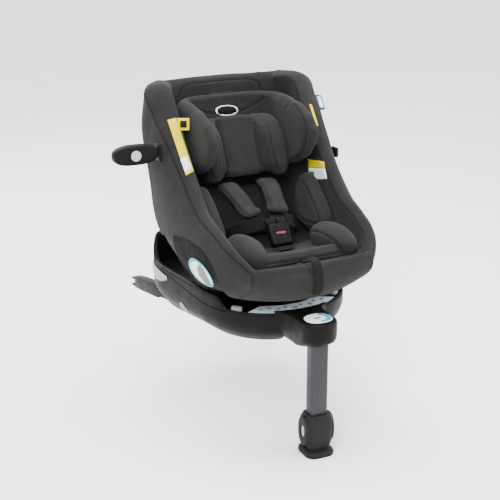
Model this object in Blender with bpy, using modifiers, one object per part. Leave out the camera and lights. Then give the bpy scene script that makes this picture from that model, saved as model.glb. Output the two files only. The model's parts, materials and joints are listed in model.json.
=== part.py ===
"""Rotating child car seat on an ISOFIX base with a support leg.

Metres, +Z up, the seat faces -Y. The origin is on the base's flat underside, on the turntable's axis.
"""

import math

import bmesh
import bpy
import numpy as np
from mathutils import Matrix, Vector

# Seat bucket
TS = np.array([0.0, 0.12, 0.25, 0.40, 0.55, 0.70, 0.82, 0.92, 1.0])
NU = 16
NV = 8
BOX_EXP = 3.4
RECLINE_AXIS_Z = 0.420
RUN_R = 0.314
SHELL_T = 0.0045
COVER_T = 0.0040
PAD_T = 0.0090
GAP = 0.0004
SKIRT_GAP = 0.0037
LINER_GAP = 0.0014
LINER_DROP = 0.004

# Turntable and base
DECK_Z = 0.0775
DECK_T = 0.005
HUB_R = 0.125
BASE_FRONT_Y = 0.203
BAND_TOP = 0.109
FRONT_TOP = 0.0815
WALL_TOP = 0.163
BAND_T = 0.018
BACK_WALL_T = 0.0105
LIP_T = 0.0085
TUB_T = 0.005
AROUND = 60
BUTTON_R = 0.1750
RELEASE_TURN = math.radians(106.5)
RELEASE_TILT = math.radians(37)
RELEASE_R = 0.1895
RELEASE_Z = 0.0310

# Support leg
LEG_Y = -0.272
LEG_PIVOT_Z = 0.064
LEG_W = 0.042
LEG_D = 0.030
CLAMP_TOP_Z = -0.136
CLAMP_BOTTOM_Z = -0.214
FOOT_TOP_Z = -0.2145
FOOT_BOTTOM_Z = -0.235

# ISOFIX connectors
ISO_X = 0.140
ISO_ROOT_Y = 0.300
ISO_ROOT_Z = -0.016
ISO_SLOPE = math.radians(9.5)

# Side impact pods
POD_ROOT = 0.2255
POD_Y = 0.066
POD_Z = 0.412
POD_PARK_Z = 0.362
POD_LEN = 0.106
POD_H = 0.046
POD_T = 0.028

# Headrest
HEAD_SLIDE = Vector((0.0, 0.0995, 0.995))


for old in list(bpy.data.objects):
    bpy.data.objects.remove(old, do_unlink=True)
scene = bpy.context.scene
seat_collection = bpy.data.collections.new("child_car_seat")
scene.collection.children.link(seat_collection)
cutter_collection = bpy.data.collections.new("cutters")
scene.collection.children.link(cutter_collection)


def material(name, colour, rough, metal=0.0):
    mat = bpy.data.materials.new(name)
    mat.use_nodes = True
    shader = mat.node_tree.nodes["Principled BSDF"]
    shader.inputs["Base Color"].default_value = (*colour, 1.0)
    shader.inputs["Roughness"].default_value = rough
    shader.inputs["Metallic"].default_value = metal
    mat.diffuse_color = (*colour, 1.0)
    return mat


MATS = {
    "fabric": material("charcoal_fabric", (0.066, 0.062, 0.062), 0.92),
    "insert": material("insert_fabric", (0.072, 0.067, 0.066), 0.92),
    "webbing": material("webbing", (0.030, 0.029, 0.030), 0.80),
    "shell": material("shell_plastic", (0.030, 0.029, 0.028), 0.55),
    "base": material("base_plastic", (0.040, 0.040, 0.038), 0.50),
    "band": material("band_plastic", (0.058, 0.055, 0.052), 0.45),
    "pale": material("pale_plastic", (0.42, 0.42, 0.42), 0.45),
    "mid": material("mid_grey_plastic", (0.17, 0.17, 0.17), 0.45),
    "label": material("deck_label", (0.60, 0.72, 0.76), 0.40),
    "window": material("window_label", (0.75, 0.80, 0.82), 0.35),
    "foam": material("liner_foam", (0.70, 0.70, 0.70), 0.90),
    "leg": material("leg_aluminium", (0.150, 0.155, 0.165), 0.38, 0.9),
    "steel": material("latch_steel", (0.45, 0.45, 0.46), 0.30, 1.0),
    "rubber": material("sole_rubber", (0.020, 0.020, 0.020), 0.85),
    "red": material("release_red", (0.35, 0.020, 0.018), 0.40),
}


def add(name, verts, faces, mat):
    """One closed object from points and faces, with its faces turned outwards."""
    mesh = bpy.data.meshes.new(name)
    mesh.from_pydata([tuple(map(float, v)) for v in verts], [], [tuple(map(int, f)) for f in faces])
    work = bmesh.new()
    work.from_mesh(mesh)
    bmesh.ops.remove_doubles(work, verts=work.verts, dist=1e-6)
    bmesh.ops.recalc_face_normals(work, faces=work.faces)
    work.to_mesh(mesh)
    work.free()
    obj = bpy.data.objects.new(name, mesh)
    seat_collection.objects.link(obj)
    mesh.materials.append(MATS[mat])
    return obj


def curve(ts, points, t):
    """A smooth curve through points given at the parameters ts."""
    points = np.asarray(points, float)
    ts = np.asarray(ts, float)
    slopes = np.gradient(points, ts, axis=0)
    t = np.clip(np.atleast_1d(np.asarray(t, float)), ts[0], ts[-1])
    k = np.clip(np.searchsorted(ts, t, side="right") - 1, 0, len(ts) - 2)
    span = (ts[k + 1] - ts[k])[:, None]
    f = ((t - ts[k])[:, None]) / span
    return (
        (2 * f**3 - 3 * f**2 + 1) * points[k]
        + (f**3 - 2 * f**2 + f) * span * slopes[k]
        + (3 * f**2 - 2 * f**3) * points[k + 1]
        + (f**3 - f**2) * span * slopes[k + 1]
    )


def smooth(low, high, value):
    f = np.clip((np.asarray(value, float) - low) / (high - low), 0.0, 1.0)
    return f * f * (3 - 2 * f)


def split(faces, verts, a, b, c, d):
    """Two triangles for a quad, cut along its shorter diagonal."""
    across = np.linalg.norm(np.subtract(verts[a], verts[c]))
    other = np.linalg.norm(np.subtract(verts[b], verts[d]))
    if across <= other:
        faces.extend([(a, b, c), (a, c, d)])
    else:
        faces.extend([(a, b, d), (b, c, d)])


def strips(faces, verts, loops):
    """Faces between successive closed loops of vertex indices."""
    for a, b in zip(loops[:-1], loops[1:]):
        count = len(a)
        for k in range(count):
            n = (k + 1) % count
            split(faces, verts, a[k], a[n], b[n], b[k])


def loft(name, loops, mat, ends="fan"):
    """A body through closed loops of equal length; its ends are fans, flat faces or a join into a ring."""
    verts = [p for loop in loops for p in loop]
    count = len(loops[0])
    index = [list(range(i * count, (i + 1) * count)) for i in range(len(loops))]
    faces = []
    strips(faces, verts, index + [index[0]] if ends == "ring" else index)
    if ends == "flat":
        faces += [tuple(index[0]), tuple(index[-1])]
    if ends == "fan":
        for loop in (index[0], index[-1]):
            centre = np.mean([verts[i] for i in loop], axis=0)
            verts.append(centre)
            for k in range(count):
                faces.append((loop[k], loop[(k + 1) % count], len(verts) - 1))
    return add(name, verts, faces, mat)


def shape(obj, bevel=0.0, segments=2):
    if bevel:
        mod = obj.modifiers.new("edges", "BEVEL")
        mod.width = bevel
        mod.segments = segments
        mod.limit_method = "ANGLE"
        mod.angle_limit = math.radians(35)
    return obj


def box(name, centre, size, mat, bevel=0.0, turn=None, segments=2):
    """A block with rounded edges; turn is a rotation matrix about its own centre."""
    turn = turn or Matrix.Identity(3)
    corners = [
        Vector((sx, sy, sz)) for sx in (-0.5, 0.5) for sy in (-0.5, 0.5) for sz in (-0.5, 0.5)
    ]
    verts = [
        Vector(centre) + turn @ Vector((c.x * size[0], c.y * size[1], c.z * size[2])) for c in corners
    ]
    faces = [(0, 1, 3, 2), (4, 6, 7, 5), (0, 4, 5, 1), (2, 3, 7, 6), (0, 2, 6, 4), (1, 5, 7, 3)]
    return shape(add(name, verts, faces, mat), bevel, segments)


def prism(name, outline, axis, low, high, mat, bevel=0.0):
    """An outline extruded along X, Y or Z; the outline gives the other two coordinates in order."""
    spots = {"X": (1, 2), "Y": (0, 2), "Z": (0, 1)}[axis]
    along = "XYZ".index(axis)
    verts = []
    for level in (low, high):
        for a, b in outline:
            p = [0.0, 0.0, 0.0]
            p[spots[0]], p[spots[1]], p[along] = a, b, level
            verts.append(p)
    count = len(outline)
    faces = [tuple(range(count)), tuple(range(count, 2 * count))]
    faces += [(k, (k + 1) % count, count + (k + 1) % count, count + k) for k in range(count)]
    return shape(add(name, verts, faces, mat), bevel)


def tube(name, centre, axis, radius, length, mat, bevel=0.0, sides=24):
    """A round bar centred on a point."""
    turn = Vector(axis).to_track_quat("Z", "Y").to_matrix()
    verts = []
    for level in (-0.5, 0.5):
        for k in range(sides):
            a = 2 * math.pi * k / sides
            verts.append(
                Vector(centre) + turn @ Vector((radius * math.cos(a), radius * math.sin(a), level * length))
            )
    faces = [tuple(range(sides)), tuple(range(sides, 2 * sides))]
    faces += [(k, (k + 1) % sides, sides + (k + 1) % sides, sides + k) for k in range(sides)]
    return shape(add(name, verts, faces, mat), bevel)


def cut(obj, cutter, operation="DIFFERENCE"):
    """Applies a Boolean with a helper body, and puts the helper away."""
    for owner in list(cutter.users_collection):
        owner.objects.unlink(cutter)
    cutter_collection.objects.link(cutter)
    cutter.hide_render = True
    cutter.display_type = "WIRE"
    mod = obj.modifiers.new("cut", "BOOLEAN")
    mod.operation = operation
    mod.solver = "EXACT"
    mod.object = cutter
    return obj


def oval(cx, cy, rx, ry, sides=24, power=2.0):
    """An ellipse, or a squarer oval when power is over 2."""
    out = []
    for k in range(sides):
        a = 2 * math.pi * k / sides
        c, s = math.cos(a), math.sin(a)
        x = rx * math.copysign(abs(c) ** (2 / power), c)
        y = ry * math.copysign(abs(s) ** (2 / power), s)
        out.append((cx + x, cy + y))
    return out


def ribbon(name, path, width_dir, width, thick, mat):
    """Flat webbing along a path; width_dir is one direction or one for each point."""
    path = np.asarray(path, float)
    dirs = np.asarray(width_dir, float)
    if dirs.ndim == 1:
        dirs = np.tile(dirs, (len(path), 1))
    along = np.gradient(path, axis=0)
    along /= np.linalg.norm(along, axis=1)[:, None]
    loops = []
    for p, a, w in zip(path, along, dirs):
        w = w - a * np.dot(w, a)
        w /= np.linalg.norm(w)
        n = np.cross(a, w)
        h, t = width / 2, thick / 2
        loops.append([p + w * h + n * t, p - w * h + n * t, p - w * h - n * t, p + w * h - n * t])
    return loft(name, loops, mat)


# ---------------------------------------------------------------- seat bucket surfaces

FLOOR = [
    (0.0, -0.238, 0.198),
    (0.0, -0.185, 0.194),
    (0.0, -0.120, 0.182),
    (0.0, -0.030, 0.164),
    (0.0, 0.070, 0.166),
    (0.0, 0.130, 0.240),
    (0.0, 0.180, 0.335),
    (0.0, 0.226, 0.435),
    (0.0, 0.238, 0.514),
]
RIM_IN = [
    (0.138, -0.228, 0.203),
    (0.158, -0.190, 0.236),
    (0.164, -0.130, 0.264),
    (0.164, -0.060, 0.290),
    (0.162, 0.005, 0.350),
    (0.159, 0.065, 0.415),
    (0.158, 0.114, 0.476),
    (0.155, 0.162, 0.530),
    (0.135, 0.213, 0.529),
]
RIM_OUT = [
    (0.141, -0.243, 0.202),
    (0.172, -0.199, 0.238),
    (0.182, -0.135, 0.264),
    (0.187, -0.060, 0.291),
    (0.190, 0.010, 0.351),
    (0.199, 0.078, 0.424),
    (0.206, 0.136, 0.480),
    (0.206, 0.190, 0.528),
    (0.168, 0.246, 0.531),
]
UPPER = [
    (0.144, -0.246, 0.190),
    (0.178, -0.200, 0.222),
    (0.194, -0.137, 0.246),
    (0.204, -0.061, 0.268),
    (0.209, 0.012, 0.312),
    (0.214, 0.078, 0.366),
    (0.216, 0.138, 0.410),
    (0.214, 0.192, 0.442),
    (0.176, 0.243, 0.455),
]
MIDDLE = [
    (0.144, -0.240, 0.176),
    (0.180, -0.196, 0.195),
    (0.202, -0.138, 0.212),
    (0.213, -0.062, 0.230),
    (0.218, 0.010, 0.258),
    (0.219, 0.068, 0.290),
    (0.216, 0.122, 0.318),
    (0.207, 0.166, 0.335),
    (0.166, 0.214, 0.345),
]
GIRTH = [
    (0.134, -0.218, 0.152),
    (0.172, -0.184, 0.156),
    (0.198, -0.132, 0.164),
    (0.211, -0.062, 0.176),
    (0.214, 0.000, 0.190),
    (0.212, 0.048, 0.200),
    (0.207, 0.106, 0.206),
    (0.192, 0.145, 0.212),
    (0.150, 0.172, 0.215),
]
LOWER = [
    (0.120, -0.184, 0.130),
    (0.150, -0.152, 0.130),
    (0.174, -0.108, 0.131),
    (0.186, -0.055, 0.132),
    (0.189, 0.000, 0.135),
    (0.184, 0.042, 0.142),
    (0.172, 0.078, 0.152),
    (0.150, 0.106, 0.160),
    (0.112, 0.130, 0.164),
]
SOLE = [
    (0.100, -0.130, 0.134),
    (0.126, -0.108, 0.125),
    (0.144, -0.080, 0.117),
    (0.152, -0.045, 0.110),
    (0.154, -0.008, 0.107),
    (0.150, 0.026, 0.108),
    (0.138, 0.056, 0.111),
    (0.118, 0.080, 0.117),
    (0.088, 0.096, 0.122),
]
HEM = (1.0, 1.10, 2.95, 3.20, 2.65, 2.30, 2.20, 2.8, 4.2)
HEM_BACK = 4.4
MIDS = {
    "rim_out": ((-0.253, 0.196), (0.264, 0.533)),
    "upper": ((-0.260, 0.184), (0.270, 0.455)),
    "middle": ((-0.261, 0.168), (0.238, 0.345)),
    "girth": ((-0.250, 0.146), (0.196, 0.216)),
    "lower": ((-0.220, 0.127), (0.152, 0.164)),
    "sole": ((-0.140, 0.138), (0.102, 0.123)),
}


def bucket(t, v):
    """Points of the bucket's inner surface: t runs from front lip to top edge, v across from -1 to 1."""
    t = np.atleast_1d(t)
    v = np.atleast_1d(v)
    floor = curve(TS, FLOOR, t)
    rim = curve(TS, RIM_IN, t)
    angle = np.linspace(0.0, math.pi / 2, 160)
    s = np.sin(angle) ** (2 / BOX_EXP)
    q = 1 - np.cos(angle) ** (2 / BOX_EXP)
    out = np.zeros((len(t), len(v), 3))
    for i in range(len(t)):
        rise = rim[i] - floor[i]
        rise[0] = 0.0
        line = floor[i] + rise * q[:, None]
        line[:, 0] = rim[i][0] * s
        steps = np.linalg.norm(np.diff(line, axis=0), axis=1)
        run = np.concatenate([[0.0], np.cumsum(steps)])
        want = np.abs(v) * run[-1]
        for axis in range(3):
            out[i, :, axis] = np.interp(want, run, line[:, axis])
        out[i, :, 0] *= np.sign(v)
    return out


def grid_normals(grid):
    """Unit normals of a grid of points, facing up into the bucket."""
    du = np.gradient(grid, axis=0)
    dv = np.gradient(grid, axis=1)
    n = np.cross(dv, du)
    return n / np.linalg.norm(n, axis=2)[:, :, None]


def border(nu, nv):
    """Grid indices round the patch: right side to the top, over, down the left, back along the front."""
    right = [(i, nv) for i in range(nu + 1)]
    top = [(nu, j) for j in range(nv - 1, 0, -1)]
    left = [(i, 0) for i in range(nu, -1, -1)]
    front = [(0, j) for j in range(1, nv)]
    return right + top + left + front


def outer_loop(side, mids, grid):
    """A closed loop outside the bucket that keeps step with the inner patch's border."""
    nu, nv = grid.shape[0] - 1, grid.shape[1] - 1
    right = curve(TS, side, np.linspace(0.0, 1.0, nu + 1))
    front_mid, back_mid = mids

    def edge(mid, corner, row, order):
        shares = row[:, 0] / row[-1, 0]
        points = []
        for j in order:
            f = shares[j]
            bend = f * f
            y = mid[0] + (corner[1] - mid[0]) * bend
            z = mid[1] + (corner[2] - mid[1]) * bend
            points.append((corner[0] * f, y, z))
        return points

    loop = list(right) + edge(back_mid, right[-1], grid[-1], range(nv - 1, 0, -1))
    loop += [p * (-1, 1, 1) for p in right[::-1]] + edge(front_mid, right[0], grid[0], range(1, nv))
    return np.array(loop)


def loop_normals(loops):
    """Outward normals of a stack of closed loops that climbs from the sole to the rim."""
    stack = np.array(loops)
    up = np.gradient(stack, axis=0)
    round_ = np.roll(stack, -1, axis=1) - np.roll(stack, 1, axis=1)
    n = np.cross(round_, up)
    return n / np.linalg.norm(n, axis=2)[:, :, None]


def run_z(y, radius=RUN_R):
    """Height of the recline runner's arc."""
    return RECLINE_AXIS_Z - np.sqrt(radius**2 - np.asarray(y) ** 2)


T_ROW = np.linspace(0.0, 1.0, NU + 1)
V_ROW = np.linspace(-1.0, 1.0, NV + 1)
INNER = bucket(T_ROW, V_ROW)
INNER_N = grid_normals(INNER)
BORDER = border(NU, NV)
OUTER = np.array(
    [
        outer_loop(side, MIDS[key], INNER)
        for side, key in (
            (SOLE, "sole"),
            (LOWER, "lower"),
            (GIRTH, "girth"),
            (MIDDLE, "middle"),
            (UPPER, "upper"),
            (RIM_OUT, "rim_out"),
        )
    ]
)
OUTER_N = loop_normals(OUTER)
OUTER_N[-1] = OUTER_N[-2]
OUTER_N[0] = OUTER_N[1]


def on_patch(grid, t, v):
    """Values between a patch's grid points, at rows t and columns v."""
    i = np.clip((t * NU).astype(int), 0, NU - 1)
    j = np.clip(((v + 1) / 2 * NV).astype(int), 0, NV - 1)
    a = (t * NU - i)[:, None, None]
    b = ((v + 1) / 2 * NV - j)[None, :, None]
    low = grid[i][:, j] * (1 - b) + grid[i][:, j + 1] * b
    high = grid[i + 1][:, j] * (1 - b) + grid[i + 1][:, j + 1] * b
    return low * (1 - a) + high * a


def sole_loops(inset):
    """Loops that close the underside along the runner's arc, inset upwards."""
    out = []
    for f in (0.35, 0.7):
        loop = OUTER[0] * (f, f, 1.0)
        loop[:, 2] = run_z(loop[:, 1]) + inset
        out.append(loop)
    return out


def patch_faces(nu, nv, base, flip=False):
    """Quads of a patch whose grid of points starts at index base."""
    faces = []
    for i in range(nu):
        for j in range(nv):
            a = base + i * (nv + 1) + j
            one, other = (a + nv + 1, a + 1)[:: -1 if flip else 1]
            faces.append((a, one, a + nv + 2, other))
    return faces


def patch_body(name, loops, grid, mat):
    """A body with a fan under its first loop, and a patch whose border joins its last loop."""
    count = len(BORDER)
    verts = [p for loop in loops for p in loop]
    index = [list(range(i * count, (i + 1) * count)) for i in range(len(loops))]
    base = len(verts)
    nu, nv = grid.shape[0] - 1, grid.shape[1] - 1
    verts += [p for row in grid for p in row]
    faces = patch_faces(nu, nv, base)
    strips(faces, verts, index + [[base + i * (nv + 1) + j for i, j in BORDER]])
    verts.append(np.mean(loops[0], axis=0))
    faces += [(index[0][k], index[0][(k + 1) % count], len(verts) - 1) for k in range(count)]
    return add(name, verts, faces, mat)


def seat_shell():
    """The hard outer bowl."""
    inset = OUTER - OUTER_N * SHELL_T
    inset[0][:, 2] = OUTER[0][:, 2] + SHELL_T
    inset[0][:, :2] = OUTER[0][:, :2] * 0.96
    loops = sole_loops(0.0) + list(OUTER) + list(inset[::-1]) + sole_loops(SHELL_T)[::-1]
    return loft("seat_shell", loops, "shell")


def seat_liner():
    """Energy absorbing foam between the shell and the cover."""
    skin = OUTER - OUTER_N * (SHELL_T + GAP * 2)
    skin[0][:, 2] = OUTER[0][:, 2] + SHELL_T + GAP * 2
    skin[0][:, :2] = OUTER[0][:, :2] * 0.95
    skin[1][:, 2] = np.maximum(skin[1][:, 2], skin[0][:, 2] + 0.002)
    grid = INNER - INNER_N * (PAD_T + LINER_GAP)
    grid[:-1, (0, -1), 2] -= LINER_DROP
    loops = sole_loops(SHELL_T + GAP * 2) + list(skin[:-1])
    return patch_body("seat_liner", loops, grid, "foam")


def hem_levels():
    """How far down the outer loops the fabric reaches, round the border."""
    side = curve(TS, [(v,) for v in HEM], T_ROW)[:, 0]
    back = [HEM_BACK] * (NV - 1)
    front = [HEM[0]] * (NV - 1)
    return np.concatenate([side, back, side[::-1], front])


def skirt(stack, level):
    """The loop that lies at a level of its own for each point of the border."""
    low = np.clip(np.floor(level).astype(int), 0, len(stack) - 2)
    part = (level - low)[:, None]
    column = np.arange(stack.shape[1])
    return stack[low, column] * (1 - part) + stack[low + 1, column] * part


def seat_cover():
    """The padded fabric: the bucket's lining, its rolled rim, and a skirt over the shell's edge."""
    inner_rim = np.array([INNER[i, j] for i, j in BORDER])
    shown = OUTER + OUTER_N * (COVER_T + SKIRT_GAP)
    hidden = OUTER + OUTER_N * SKIRT_GAP
    across = shown[-1] - inner_rim
    lift = np.array((0.0, -0.25, 0.97))
    crown = [inner_rim + across * f + lift * h for f, h in ((0.22, 0.009), (0.55, 0.0125), (0.85, 0.0075))]
    rise = np.array((0.0, 0.0, 0.0020))
    under = [hidden[-1] + rise, OUTER[-1] - OUTER_N[-1] * (SHELL_T + 2 * GAP) + rise]
    hem = hem_levels()
    out_side = [skirt(shown, np.maximum(level, hem)) for level in (5, 4, 3, 2, 1)]
    in_side = [skirt(hidden, np.maximum(level, hem)) for level in (1, 2, 3, 4, 5)]
    loops = crown + out_side + in_side + under
    verts = [p for row in INNER for p in row]
    count = len(BORDER)
    faces = patch_faces(NU, NV, 0)
    index = []
    for loop in loops:
        index.append(list(range(len(verts), len(verts) + count)))
        verts += [p for p in loop]
    base = len(verts)
    verts += [p for row in (INNER - INNER_N * PAD_T) for p in row]
    faces += patch_faces(NU, NV, base, flip=True)
    edge = [i * (NV + 1) + j for i, j in BORDER]
    strips(faces, verts, [edge] + index + [[base + k for k in edge]])
    return add("seat_cover", verts, faces, "fabric")


def pad(name, t_span, v_span, rows, cols, thick, mat, gap=0.0034):
    """A cushion lying on the bucket's surface; thick gives its depth at shares 0 to 1 of both spans."""
    t = np.linspace(*t_span, rows + 1)
    v = np.linspace(*v_span, cols + 1)
    low = on_patch(INNER, t, v)
    normal = on_patch(INNER_N, t, v)
    normal /= np.linalg.norm(normal, axis=2)[:, :, None]
    a, b = np.meshgrid(np.linspace(0, 1, rows + 1), np.linspace(0, 1, cols + 1), indexing="ij")
    depth = np.vectorize(thick)(a, b)[:, :, None]
    bottom = low + normal * gap
    top = low + normal * (gap + depth)
    ring = border(rows, cols)
    side = np.array([(bottom + top)[i, j] / 2 for i, j in ring])
    centre = low.mean(axis=(0, 1))
    side += (side - centre) * 0.02
    verts = [p for row in bottom for p in row] + [p for row in top for p in row] + list(side)
    size = (rows + 1) * (cols + 1)
    faces = patch_faces(rows, cols, 0, flip=True) + patch_faces(rows, cols, size)
    edge = [i * (cols + 1) + j for i, j in ring]
    strips(faces, verts, [edge, list(range(2 * size, 2 * size + len(ring))), [size + k for k in edge]])
    return add(name, verts, faces, mat)


seat_shell()
seat_liner()
seat_cover()

# ---------------------------------------------------------------- cushions in the bucket


def dome(edge, middle):
    """A depth that rises from edge at the border to middle inside."""
    return lambda a, b: edge + (middle - edge) * min(1.0, 5.0 * min(a, 1 - a, b, 1 - b)) ** 0.6


def insert_depth(a, b):
    """The seat insert's depth: thin in the middle, and a bolster along each side."""
    side = abs(2 * b - 1)
    body = 0.012 + 0.026 * float(smooth(0.50, 0.76, side)) * (1 - float(smooth(0.88, 1.0, side)))
    return body * (0.45 + 0.55 * float(smooth(0.0, 0.14, min(a, 1 - a))))


pad("seat_insert", (0.090, 0.430), (-0.80, 0.80), 10, 14, insert_depth, "insert")
pad("back_pad", (0.560, 0.760), (-0.34, 0.34), 6, 6, dome(0.006, 0.017), "insert")
for side, sign in (("left", 1), ("right", -1)):
    span = (0.42, 0.84) if sign > 0 else (-0.84, -0.42)
    pad(f"body_bolster_{side}", (0.450, 0.630), span, 8, 6, dome(0.008, 0.028), "insert")


# ---------------------------------------------------------------- headrest

HEAD_ZS = (0.332, 0.348, 0.374, 0.408, 0.442, 0.473, 0.494, 0.505)
HEAD_BACK = (0.156, 0.167, 0.180, 0.197, 0.212, 0.221, 0.222, 0.219)
HEAD_FRONT = (0.105, 0.060, 0.010, -0.014, -0.020, 0.008, 0.055, 0.115)
HEAD_HALF = 0.1390
HEAD_WING_T = 0.026


def head_section(z, back, front, half, wall, thick_back):
    """A U in plan: the outside from the right wing round the back to the left, then the inside."""
    points = []
    radius = 0.055
    outer_half, inner_half = half, half - wall
    outer_back, inner_back = back, back - thick_back
    for w, b, full_r, turn in (
        (outer_half, outer_back, radius, 1),
        (inner_half, inner_back, radius * 0.62, -1),
    ):
        start = front + (0.006 if turn < 0 else 0.0)
        r = min(full_r, 0.7 * (b - start))
        line = [(w, start), (w, (start + b - r) / 2)]
        for k in range(6):
            a = math.radians(90 * k / 5)
            line.append((w - r + r * math.cos(a), b - r + r * math.sin(a)))
        full = line + [(-x, y) for x, y in line[::-1]]
        points += full[::turn]
    return [(x, y, z) for x, y in points]


def headrest_plate():
    """A thin moulded plate behind the headrest's pad."""
    loops = []
    for z, back in zip(HEAD_ZS[1:-1], HEAD_BACK[1:-1]):
        near, far = back + 0.0012, back + 0.0040
        loops.append([(-0.086, near, z), (0.086, near, z), (0.086, far, z), (-0.086, far, z)])
    return loft("headrest_plate", loops, "shell")


def headrest_pad():
    loops = [
        head_section(z, back, front, HEAD_HALF - shrink, HEAD_WING_T - shrink, 0.018 - shrink * 0.5)
        for z, back, front, shrink in zip(
            HEAD_ZS, HEAD_BACK, HEAD_FRONT, (0.008, 0.003, 0.0, 0.0, 0.0, 0.0, 0.003, 0.009)
        )
    ]
    return loft("headrest_pad", loops, "fabric", ends="flat")


headrest_pad()
headrest_plate()


def head_pillow():
    """A removable pillow with a flat middle and a bolster at each side."""
    loops = []
    spots = (0.316, 0.326, 0.350, 0.385, 0.420, 0.445, 0.455)
    shrink = (0.012, 0.004, 0.0, 0.0, 0.0, 0.005, 0.013)
    for z, s in zip(spots, shrink):
        rear = float(np.interp(z, HEAD_ZS, HEAD_BACK)) - 0.0225 - s
        middle = rear - 0.028 + s
        nose = rear - 0.092 + 3 * s
        half = [
            (0.050, rear),
            (0.080 - s, rear),
            (0.100 - s, rear - 0.012),
            (0.110 - s, rear - 0.034),
            (0.110 - s, nose + 0.016),
            (0.100 - s, nose + 0.003),
            (0.084, nose),
            (0.068 + s, nose + 0.006),
            (0.060 + s, nose + 0.022),
            (0.050 + s, middle - 0.004),
            (0.025, middle - 0.009),
        ]
        loops.append([(x, y, z) for x, y in half + [(-x, y) for x, y in half[::-1]]])
    return loft("head_pillow", loops, "insert", ends="flat")


head_pillow()
box("headrest_lever", (0.0, 0.2306, 0.4940), (0.060, 0.0064, 0.013), "mid", 0.002)

# ---------------------------------------------------------------- harness

BUCKLE = Vector((0.0, -0.0860, 0.2270))
BUCKLE_TILT = Matrix.Rotation(math.radians(-38), 3, "X")


def on_buckle(x, y, z):
    """A point given along the buckle's own width, thickness and height."""
    return BUCKLE + BUCKLE_TILT @ Vector((x, y, z))


housing = box("buckle_housing", BUCKLE, (0.052, 0.022, 0.054), "shell", 0.006, BUCKLE_TILT, 3)
recess_at = on_buckle(0, -0.00825, -0.004)
cut(housing, box("buckle_recess", recess_at, (0.0308, 0.0125, 0.0208), "shell", 0.0, BUCKLE_TILT))
box("buckle_button", on_buckle(0, -0.0082, -0.004), (0.030, 0.0050, 0.020), "red", 0.001, BUCKLE_TILT)

for side, sign in (("left", 1), ("right", -1)):
    top = (0.052 * sign, 0.1180, 0.303)
    mid = (0.050 * sign, 0.0700, 0.289)
    low = (0.038 * sign, 0.0050, 0.256)
    end = (0.017 * sign, -0.0400, 0.246)
    ribbon(
        f"shoulder_strap_{side}",
        [(0.052 * sign, 0.1260, 0.3060), top, mid, low, end],
        (1.0, 0.0, 0.0),
        0.032,
        0.0016,
        "webbing",
    )
    under_pad = [
        (0.0520 * sign, 0.0980, 0.2970),
        mid,
        (0.044 * sign, 0.0370, 0.2740),
        (0.0385 * sign, 0.0080, 0.2580),
        (0.0300 * sign, -0.0120, 0.2520),
    ]
    ribbon(
        f"shoulder_pad_{side}",
        [(x, y - 0.0052, z + 0.0095) for x, y, z in under_pad],
        (1.0, 0.0, 0.0),
        0.050,
        0.0150,
        "insert",
    )
    tongue_at = on_buckle(0.0135 * sign, 0.0, 0.0350)
    box(f"tongue_{side}", tongue_at, (0.023, 0.006, 0.0140), "shell", 0.0015, BUCKLE_TILT)
    ribbon(
        f"lap_strap_{side}",
        [
            on_buckle(0.029 * sign, 0.002, 0.0360),
            (0.062 * sign, -0.034, 0.237),
            (0.085 * sign, 0.000, 0.216),
            (0.097 * sign, 0.026, 0.200),
        ],
        (0.0, 0.55, 0.83),
        0.030,
        0.0016,
        "webbing",
    )
ribbon(
    "crotch_strap",
    [(0.0, -0.1210, 0.2015), (0.0, -0.1170, 0.2040), (0.0, -0.1110, 0.2070)],
    (1.0, 0.0, 0.0),
    0.038,
    0.0030,
    "webbing",
)
box("adjuster_button", (0.0, -0.2150, 0.2048), (0.026, 0.018, 0.005), "shell", 0.0015)
ribbon(
    "adjuster_strap",
    [
        (0.0, -0.2280, 0.2170),
        (0.0, -0.2540, 0.2165),
        (0.0, -0.2690, 0.2040),
        (0.0, -0.2720, 0.1800),
        (0.0, -0.2720, 0.1600),
        (0.0, -0.2640, 0.1420),
    ],
    (1.0, 0.0, 0.0),
    0.024,
    0.0016,
    "webbing",
)

# ---------------------------------------------------------------- fittings on the shell


def on_outer(t, level, sign=1.0):
    """A point and its outward normal on the shell's side, at border share t and loop level."""
    low = int(min(level, len(OUTER) - 2))
    i = min(int(t * NU), NU - 1)
    a, b = t * NU - i, level - low
    flip = np.array((sign, 1.0, 1.0))
    point, normal = [
        (g[low, i] * (1 - a) + g[low, i + 1] * a) * (1 - b)
        + (g[low + 1, i] * (1 - a) + g[low + 1, i + 1] * a) * b
        for g in (OUTER, OUTER_N)
    ]
    return point * flip, normal / np.linalg.norm(normal) * flip


def side_window(name, sign):
    """A thin oval label plate on the shell's side."""
    low, high = [], []
    for a in np.linspace(0.0, 2 * math.pi, 25)[:-1]:
        point, normal = on_outer(0.33 + 0.082 * math.cos(a), 2.00 + 0.72 * math.sin(a), sign)
        low.append(point + normal * 0.0020)
        high.append(point + normal * 0.0032)
    centre, normal = on_outer(0.33, 2.00, sign)
    verts = low + high + [centre + normal * 0.0022, centre + normal * 0.0036]
    faces = []
    strips(faces, verts, [list(range(24)), list(range(24, 48))])
    faces += [(k, (k + 1) % 24, 48) for k in range(24)]
    faces += [(24 + k, 24 + (k + 1) % 24, 49) for k in range(24)]
    return add(name, verts, faces, "window")


for side, sign in (("left", 1), ("right", -1)):
    side_window(f"side_window_{side}", sign)
box("recline_handle", (0.0, -0.1950, 0.1175), (0.078, 0.024, 0.0085), "mid", 0.0035, None, 3)


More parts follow.
